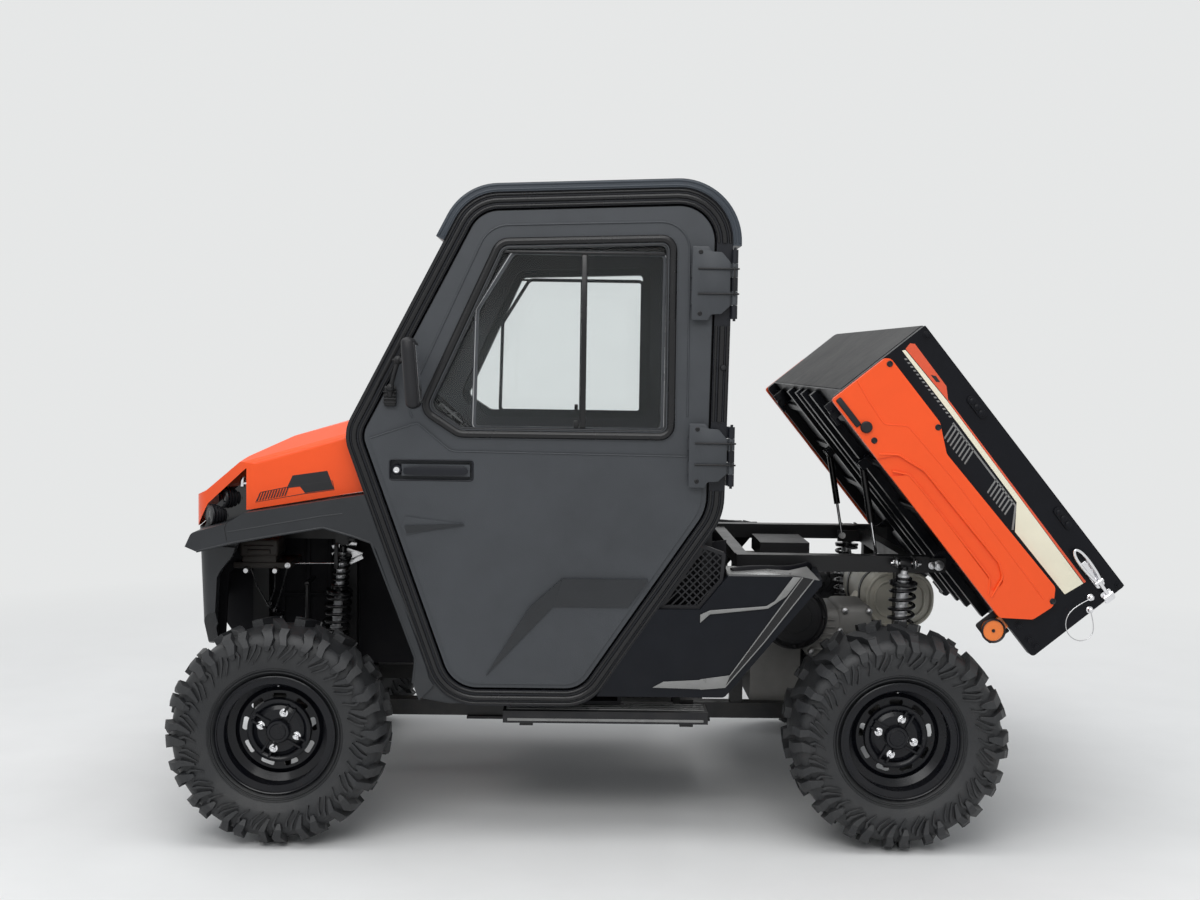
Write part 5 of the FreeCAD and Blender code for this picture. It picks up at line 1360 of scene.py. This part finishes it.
build_coilover("front", (-957, -358.1, 453.9), (-920, -398, 828.2),
               [(37, 5.6, 0.23, 0.60, 7), (24, 4.2, 0.66, 0.90, 6)], 14,
               [(0.20, 43, 9), (0.60, 42, 8), (0.63, 30, 10), (0.90, 30, 8)])
build_coilover("rear", (801, -454.6, 440.8), (815, -466.9, 802),
               [(37, 5.6, 0.31, 0.82, 8)], 18,
               [(0.28, 43, 9), (0.82, 43, 9), (0.86, 26, 8)])

GEARBOX_LUGS = [(650, 560), (742, 560), (742, 624), (664, 626), (560, 610), (560, 490)]
COVER_SPOT = (500, 608)
DRUM_LOW, DRUM_HIGH = (751, 552), (979, 738)
DRUM_CORNER = 84
DRUM_END = -192


def drum_outline(inset):
    """The muffler's oval, made smaller by an inset."""
    low = (DRUM_LOW[0] + inset, DRUM_LOW[1] + inset)
    high = (DRUM_HIGH[0] - inset, DRUM_HIGH[1] - inset)
    return rounded_rectangle(low, high, DRUM_CORNER - inset, 12)


def build_rear_fittings():
    """Bolts of the rear rails, gearbox casting, cover ribs, muffler and intake duct."""
    def bolts(bm):
        add_rod(bm, (770, -472, 803), (864, -472, 803), 6, 16, 1)
        add_bolt(bm, (790, -472, 803), 11, 14, "X", -1)
        add_bolt(bm, (842, -472, 803), 11, 14, "X", 1)
        add_bolt(bm, (905, -444.5, 793), 8, 9)
        add_bolt(bm, (927, -440, 793), 11, 12)

    both_sides("rail_bolts", "alloy", "chassis", bolts)

    def shock_eye(bm):
        add_rod(bm, (799, -467, 803), (833, -467, 803), 16, 28, 2)
        add_box(bm, (786, -480, 786), (794, -444, 822), 2)
        add_box(bm, (838, -480, 786), (846, -444, 822), 2)

    both_sides("shock_eye", "frame_black", "chassis", shock_eye)

    def casting(bm):
        add_box(bm, (540, -300, 470), (700, -60, 628), 26, 4)
        add_box(bm, (640, -306, 540), (756, -90, 640), 22, 4)
        for x, z in GEARBOX_LUGS:
            add_rod(bm, (x, -316, z), (x, -290, z), 11, 18, 2)
        for z in (500, 524, 548, 572, 596):
            add_box(bm, (556, -308, z - 3), (636, -290, z + 3), 2)

    single("gearbox_casting", "engine_alloy", "chassis", casting)

    def casting_bolts(bm):
        for x, z in GEARBOX_LUGS:
            add_bolt(bm, (x, -315, z), 6, 7)

    single("casting_bolts", "alloy", "chassis", casting_bolts)

    def cover_ribs(bm):
        for radius in (98, 78, 52):
            add_turned(bm, [(-344, radius + 3), (-351.5, radius + 1.5), (-351.5, radius - 1.5),
                            (-344, radius - 3)], (COVER_SPOT[0], 0, COVER_SPOT[1]), steps=64)
        for index in range(8):
            angle = math.radians(index * 45)
            add_bolt(bm, (COVER_SPOT[0] + 92 * math.cos(angle), -342, COVER_SPOT[1] + 92 * math.sin(angle)),
                     4.5, 9)

    single("cover_ribs", "black_plastic", "chassis", cover_ribs)

    def drum(bm):
        add_plate(bm, drum_outline(0), DRUM_END, -DRUM_END, 8, 3)
        add_rod(bm, (930, 192, 640), (990, 196, 600), 20, 28, 2)
        add_rod(bm, (760, -60, 640), (700, -60, 560), 20, 28, 2)

    single("muffler_drum", "muffler_steel", "chassis", drum)
    for name, inset, size in (("rim", 8, 6.5), ("press", 34, 4.5)):
        bead("muffler_" + name, at_depth(drum_outline(inset), DRUM_END), size, "muffler_steel", "chassis",
             closed=True)

    def straps(bm):
        band = rounded_rectangle((DRUM_LOW[0] - 3, DRUM_LOW[1] - 3), (DRUM_HIGH[0] + 3, DRUM_HIGH[1] + 3),
                                 DRUM_CORNER + 2, 12)
        for y in (-100, 100):
            add_plate(bm, band, y - 11, y + 11)
        add_box(bm, (880, -111, 716), (900, -89, 770), 3)
        add_box(bm, (880, 89, 716), (900, 111, 770), 3)

    single("muffler_straps", "frame_black", "chassis", straps)

    duct = [(262, -640, 792), (300, -630, 797), (360, -612, 797), (420, -600, 793), (470, -560, 793),
            (505, -520, 796), (512, -480, 790)]
    bead("intake_duct", duct, 15, "liner", "chassis", smooth=True, sides=5)


build_rear_fittings()


# Wheels

NUT_ANGLES = (74, 164, 254, 344)
NUT_CIRCLE = 54


def build_rim_details(end, side, sign, x, y, width):
    """Pressed ring, hub cap, lip bead and ribs of a rim, its nuts and its valve."""
    def trim(bm):
        add_turned(bm, [(-712, 76), (-717, 80), (-719, 86), (-717, 92), (-702, 95), (-702, 76)], steps=72)
        add_knob(bm, (0, 0), [(-714, 34), (-728, 34), (-732, 31), (-732, 24), (-734, 22)], 48)
        lip = -(y + width / 2 - 22)
        add_turned(bm, [(lip + 4, 166), (lip, 167.5), (lip - 1.5, 170), (lip, 172.5), (lip + 4, 172)],
                   steps=96)
        for angle in NUT_ANGLES:
            made = add_box(bm, (-15, -724, 34), (-8, -700, 80), 2.5, 2)
            made += add_box(bm, (8, -724, 34), (15, -700, 80), 2.5, 2)
            between_nuts = Matrix.Rotation(math.radians(angle - 45), 3, "Y")
            bmesh.ops.rotate(bm, verts=made, cent=(0, 0, 0), matrix=between_nuts)

    def nuts(bm):
        for angle in NUT_ANGLES:
            nut_x = NUT_CIRCLE * math.cos(math.radians(angle))
            nut_z = NUT_CIRCLE * math.sin(math.radians(angle))
            add_knob(bm, (nut_x, nut_z), [(-715, 12), (-718, 12), (-719, 10)], 20)
            add_rod(bm, (nut_x, -718, nut_z), (nut_x, -731, nut_z), 8.5, 6, 1.2)
            add_rod(bm, (nut_x, -730, nut_z), (nut_x, -738, nut_z), 5.5, 16, 1.5)
        add_rod(bm, (0, -706, 126), (0, -722, 134), 3.2, 10, 0.8)

    body = "wheel_%s_%s" % (end, side)
    place = place_of(sign) @ Matrix.Translation((x, 0, TYRE_RADIUS / MM))
    for name, finish, slot, make in (("trim", "rim_black", "rim", trim), ("nuts", "chrome", "bright", nuts)):
        bm = bmesh.new()
        make(bm)
        finish_piece(bm, "rim_%s_%s_%s" % (name, end, side), finish, body, 34, place)


for end, x, y, width in TYRES:
    for side, sign in SIDES:
        build_rim_details(end, side, sign, x / MM, y / MM, width / MM)


# Bed

BED_FACE = -716
PANEL_FACE = -736
PANEL_FRONT = 276


def on_bed(name, finish, make):
    """A piece on both sides of the raised bed."""
    both_sides(name, finish, "bed", make, raised=True)


def build_bed_decals():
    """Stripes, bars and ticks of the bed's side, and the pressed lines of its orange panel."""
    def cream(bm):
        stripe = [(291, 1056), (296, 1065), (486, 1071), (840, 1067), (1156, 1062), (1148, 1000),
                  (912, 996), (846, 1052), (560, 1056)]
        add_film(bm, stripe, BED_FACE)

    on_bed("bed_stripe_cream", "cream_film", cream)

    def salmon(bm):
        add_film(bm, [(289, 1087), (299, 1097), (452, 1095), (490, 1073), (294, 1067)], BED_FACE)
        add_film(bm, [(490, 1072), (488, 1076), (1157, 1071), (1156, 1064)], BED_FACE)

    on_bed("bed_stripe_salmon", "salmon_film", salmon)

    def marks(bm):
        for index in range(16):
            x = 313 + index * 14
            add_film(bm, [(x, 1047), (x + 4, 1053), (x + 10, 1053), (x + 6, 1047)], BED_FACE, 0.4)
        for index in [*range(8), *range(15, 22)]:
            x = 550 + index * 13.6
            reach = 46 - index * 0.2
            low_x, low_z = x + reach * 0.35, 1045 - reach
            add_film(bm, [(low_x, low_z), (x, 1045), (x + 5, 1045), (low_x + 5, low_z)], BED_FACE, 0.4)
        border = [(548, 1048), (854, 1046), (905, 996), (901, 992), (851, 1041), (548, 1043)]
        add_film(bm, border, BED_FACE, 0.4)

    on_bed("bed_marks", "pale_trim_and_highlight", marks)

    def notch(bm):
        add_plate(bm, [(398, 1079), (410, 1089), (432, 1088), (424, 1079)], BED_FACE - 0.3, BED_FACE - 0.9)

    on_bed("bed_stripe_notch", "grey_film", notch)

    channel = [(484, 820), (520, 863), (603, 894), (950, 902), (990, 886), (1016, 824)]
    inner = [(547, 820), (584, 852), (657, 855), (968, 856), (1004, 822)]
    border = [(262, 899), (340, 890), (425, 884), (470, 935), (700, 946), (1114, 940)]
    for name, line, radius in (("channel", channel, 3.4), ("inner", inner, 3.0), ("border", border, 2.2)):
        run = round_corners(line, 22, 5, closed=False)
        on_panel = [(max(x, PANEL_FRONT), z) for x, z in run]
        bead("bed_panel_" + name, at_depth(on_panel, PANEL_FACE + 0.6), radius, "orange", "bed",
             raised=True)


def build_bed_hardware():
    """Pressings, fasteners, gate latch with its pin and wire, ribs, and the reflector's rim."""
    def bumps(bm):
        for x, z in ((554, 1127), (967, 1130)):
            boss = rounded_rectangle((x - 38, z - 12), (x + 38, z + 12), 11, 5)
            add_plate(bm, boss, BED_FACE + 1, BED_FACE - 7, 4, 3)
            for shift in (-22, 0, 22):
                add_knob(bm, (x + shift, z), [(-720, 9), (-726, 9), (-728, 6)], 20)
        for x, z in ((1138, 839), (1190, 837), (1218, 841), (300, 836), (300, 1140), (1225, 1140)):
            add_bolt(bm, (x, BED_FACE + 0.5, z), 8, 8)

    on_bed("bed_bumps", "bed_black", bumps)

    def screws(bm):
        for spot in ((297, 1002), (528, 1001), (444, 833), (1136, 957)):
            add_knob(bm, spot, [(PANEL_FACE + 3, 9), (PANEL_FACE - 2, 9), (PANEL_FACE - 3, 7),
                                (PANEL_FACE - 1, 5)], 24)
        add_box(bm, (284, -742, 815), (384, -733, 833), 4, 2)
        add_knob(bm, (399, 838), [(-733, 17), (-744, 17), (-747, 14)], 32)

    on_bed("bed_panel_screws", "black_plastic", screws)

    def latch(bm):
        add_plate(bm, rounded_rectangle((1104, 1084), (1196, 1112), 8, 4), -716, -722, 1.5)
        for x in (1114, 1140, 1166):
            add_rod(bm, (x, -720, 1104), (x, -726, 1104), 4, 6, 0.8)
        add_rod(bm, (1176, -732, 1084), (1176, -732, 1112), 6, 16, 1.5)
        add_rod(bm, (1178, -732, 1098), (1222, -730, 1096), 6, 16, 1.5)
        add_plate(bm, rounded_rectangle((1210, 1078), (1246, 1112), 6, 4), -717, -724, 1.5)
        add_rod(bm, (1226, -730, 1078), (1226, -730, 1112), 7, 16, 1.5)
        for spot in ((1200, 1053), (1228, 1029)):
            add_knob(bm, spot, [(-714, 10), (-722, 10), (-724, 7), (-734, 7), (-737, 4)], 24)

    on_bed("gate_latch", "chrome", latch)
    loop = [(1176, -733, 1090), (1120, -734, 1084), (1072, -734, 1086), (1054, -734, 1098),
            (1072, -734, 1110), (1120, -734, 1112), (1176, -733, 1106)]
    bead("latch_loop", loop, 4.4, "chrome", "bed", closed=True, smooth=True, raised=True)
    wire = [(1200, -732, 1050), (1190, -736, 1010), (1192, -738, 968), (1215, -739, 940), (1250, -739, 932),
            (1282, -738, 950), (1290, -736, 985), (1266, -733, 1012), (1232, -731, 1026)]
    bead("pin_wire", wire, 1.4, "alloy", "bed", smooth=True, raised=True)

    # This sheet's grey paints the sheen of the wet black front wall; its scuffs and dust are wear.
    def front_sheet(bm):
        add_box(bm, (273.4, -680, 854), (275.2, 680, 1149), 0.4, 1)

    single("bed_front_sheet", "bed_worn_and_sheen", "bed", front_sheet, raised=True)

    def top_rail(bm):
        add_box(bm, (276, -716, 1150), (1236, -680, 1153), 1, 1)

    on_bed("bed_top_rail", "bed_black", top_rail)

    def under(bm):
        for x in (380, 560, 740):
            add_box(bm, (x - 14, -676, 836), (x + 14, 676, 848), 3, 2)
        for y in (-560, 560):
            add_box(bm, (300, y - 6, 800), (352, y + 6, 848), 2, 2)
            add_rod(bm, (326, y - 16, 806), (326, y + 16, 806), 6, 16, 1)
            add_box(bm, (330, y - 5, 796), (372, y + 5, 812), 3, 2)

    single("bed_under_ribs", "bed_black", "bed", under, raised=True)

    def inside(bm):
        for y in range(-600, 601, 100):
            add_box(bm, (312, y - 16, 851), (1196, y + 16, 856), 2, 1)

    single("bed_floor_ribs", "bed_black", "bed", inside, raised=True)

    def gate(bm):
        for low, high in ((-640, -230), (-205, 205), (230, 640)):
            made = add_plate(bm, rounded_rectangle((low, 905), (high, 1085), 22, 5), 0, 5, 2)
            bmesh.ops.rotate(bm, verts=made, cent=(0, 0, 0), matrix=Matrix.Rotation(math.radians(90), 3, "Z"))
            bmesh.ops.translate(bm, verts=made, vec=(1237.5, 0, 0))
        add_box(bm, (1230, -668, 1120), (1240, 668, 1146), 4, 2)

    single("gate_pressings", "bed_black", "tailgate", gate, raised=True)

    def reflector_face(bm):
        add_turned(bm, [(-711, 31), (-711, 36), (-716, 36), (-718, 33), (-716, 30.5), (-711, 30.5)],
                   (1105, 0, 772), steps=48)
        add_rod(bm, (1105, -712, 772), (1105, -716, 772), 5, 16, 1)
        plate = [(1066, 742, 8), (1066, 812, 4), (1144, 812, 4), (1138, 742, 8)]
        add_plate(bm, round_corners(plate, 0, 3), -684, -690, 1)

    on_bed("reflector_rim", "black_plastic", reflector_face)


build_bed_decals()
build_bed_hardware()


# Side panels and steps

def build_panel_trim():
    """Pale strips and lines that paint highlights on the side panel, its dark band, the vent's back and the
    step's ribs.
    """
    inner = [(458, 796), (362, 659), (253, 505), (166, 492)]
    outer = [(491, 789), (349, 603), (239, 471), (167, 465)]

    # The pale strips on the side panel and its top are painted highlights of glare on wet black plastic.
    def strips(bm):
        upper = [(163, 683), (191, 696), (354, 710), (378, 725), (429, 795)]
        lower = [(163, 659), (191, 684), (359, 703), (411, 739), (453, 795)]
        add_plate(bm, upper + list(reversed(lower)), -736.5, -740, 1.2)
        foot = [(28, 468), (60, 486), (166, 492), (253, 505), (239, 471), (167, 465)]
        add_plate(bm, foot, -736.5, -739, 1.2)
        made = add_plate(bm, [(246, 0), (508, -2), (492, 142), (430, 96), (246, 140)], 0, 4, 1.2)
        lean = Matrix.Translation((0, -733, 787)) @ Matrix.Rotation(math.radians(-82), 4, "X")
        bmesh.ops.transform(bm, matrix=lean, verts=made)

    both_sides("panel_strips", "pale_trim_and_highlight", "chassis", strips)

    def dark(bm):
        add_plate(bm, inner + list(reversed(outer)), -736.5, -737.6)

    both_sides("panel_band", "seal_rubber", "chassis", dark)
    # The pale lines along the band's edges are painted highlights.
    for name, line in (("inner", [(458, 795)] + inner[1:]), ("outer", [(490, 789)] + outer[1:])):
        bead("panel_line_" + name, at_depth(line, -737.4), 1.8, "pale_trim_and_highlight", "chassis",
             sides=2)

    def vent_back(bm):
        add_plate(bm, [(30, 692), (96, 700), (244, 700), (244, 890), (200, 884)], -650, -646)

    both_sides("vent_back", "liner", "chassis", vent_back)

    def step_ribs(bm):
        for y in (-612, -634, -656, -678):
            add_box(bm, (-396, y - 4, 386), (186, y + 4, 390), 1.5, 2)
        add_box(bm, (-392, -706, 358), (182, -702, 366), 1.5, 2)

    both_sides("step_ribs", "pale_trim_and_highlight", "chassis", step_ribs)


build_panel_trim()


# Seats

SEAT_SIDE = 588
SEAT_GAP = 3
VOXEL = 0.011
SWELL_CAP = 0.009
SIDE_PULL = 0.007
SEAT_MIDDLE = 0.295
CHANNEL_REACH = 0.150
SEAM_HALF = 0.006
SEAT_SECTION = [(-350, 656), (112, 656), (112, 752, 34), (-330, 790, 46)]
BACK_SECTION = [(30, 786, 24), (124, 770), (163, 786), (163, 1202, 34), (116, 1202, 42)]


def pad_form(name, section):
    """One seat's closed form. Its sides pull in between the corners."""
    bm = bmesh.new()
    add_plate(bm, round_corners(section, 6, 6), -SEAT_SIDE + 6, -SEAT_GAP - 6, 14, 3)
    bmesh.ops.transform(bm, matrix=Matrix.Scale(MM, 4), verts=bm.verts)
    middle = -(SEAT_SIDE + SEAT_GAP) / 2 * MM
    reach = (SEAT_SIDE - SEAT_GAP) / 2 * MM
    bmesh.ops.recalc_face_normals(bm, faces=bm.faces)
    mesh = bpy.data.meshes.new(name)
    bm.to_mesh(mesh)
    bm.free()
    holder = new_object(name + "_form", mesh)
    even = holder.modifiers.new("even", "REMESH")
    even.mode = "VOXEL"
    even.voxel_size = VOXEL
    bpy.context.view_layer.update()
    mesh = applied_mesh(holder)
    low = min(vert.co.x for vert in mesh.vertices)
    high = max(vert.co.x for vert in mesh.vertices)
    for vert in mesh.vertices:
        along = (vert.co.x - low) / (high - low)
        across = (vert.co.y - middle) / reach
        pull = SIDE_PULL * math.sin(math.pi * min(max(along, 0.0), 1.0)) * abs(across) ** 3
        vert.co.y -= math.copysign(pull, across)
    return mesh


def swell(mesh, name, is_sewn):
    """Fills the form with air in a short cloth run. Sewn points stay where they are."""
    holder = new_object(name + "_cloth", mesh)
    rest = [vert.co.copy() for vert in mesh.vertices]
    sewn = holder.vertex_groups.new(name="sewn")
    sewn.add([vert.index for vert in mesh.vertices if is_sewn(vert.co)], 1.0, "REPLACE")
    cloth = holder.modifiers.new("cloth", "CLOTH")
    cloth.settings.use_pressure = True
    cloth.settings.uniform_pressure_force = 4.0
    cloth.settings.vertex_group_mass = "sewn"
    cloth.settings.pin_stiffness = 1.0
    cloth.settings.effector_weights.gravity = 0.0
    cloth.collision_settings.use_self_collision = False
    for step in range(1, 21):
        bpy.context.scene.frame_set(step)
    blown = applied_mesh(holder)
    bpy.context.scene.frame_set(1)
    for vert, start in zip(blown.vertices, rest):
        move = vert.co - start
        if move.length > SWELL_CAP:
            vert.co = start + move.normalized() * SWELL_CAP
    return blown


def build_pad(node, section, is_sewn, piping):
    """Both seats' pads of a node in one piece, with piping along the sewn lines."""
    mesh = pad_form(node, section)
    mesh = swell(mesh, node, is_sewn)
    bm = bmesh.new()
    bm.from_mesh(mesh)
    copied = bmesh.ops.duplicate(bm, geom=bm.verts[:] + bm.edges[:] + bm.faces[:])["geom"]
    twin = [item for item in copied if isinstance(item, bmesh.types.BMVert)]
    bmesh.ops.transform(bm, matrix=MIRROR_Y, verts=twin)
    piece = finish_piece(bm, node + "_pad", "seat_vinyl", "chassis", 180.0)
    rounding = piece.modifiers.new("smooth", "SUBSURF")
    rounding.levels = rounding.render_levels = 1
    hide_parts(node)
    for index, line in enumerate(piping):
        bead("%s_piping_%d" % (node, index), line, 3.2, "seat_vinyl", "chassis", smooth=True)


def on_channel(point):
    """True near the two sewn channels that run along a pad."""
    return abs(abs(point.y + SEAT_MIDDLE) - CHANNEL_REACH) < SEAM_HALF


def cushion_sewn(point):
    """Two channels along the cushion, one across it, and its underside."""
    on_top = point.z > 0.72
    across = abs(point.x + 0.12) < SEAM_HALF
    return point.z < 0.662 or (on_top and (on_channel(point) or across))


def back_sewn(point):
    """Two channels up the back rest, one across it, and its rear face."""
    on_front = point.x < 0.118
    across = abs(point.z - 1.06) < SEAM_HALF
    return point.x > 0.157 or (on_front and (on_channel(point) or across))


build_pad("seat_cushion", SEAT_SECTION, cushion_sewn, [
    [(-300, y, 786), (-200, y, 778), (-60, y, 766), (60, y, 756)] for y in (-445, -145)])
build_pad("seat_back", BACK_SECTION, back_sewn, [
    [(56, y, 880), (78, y, 980), (96, y, 1080), (108, y, 1150)] for y in (-445, -145)])
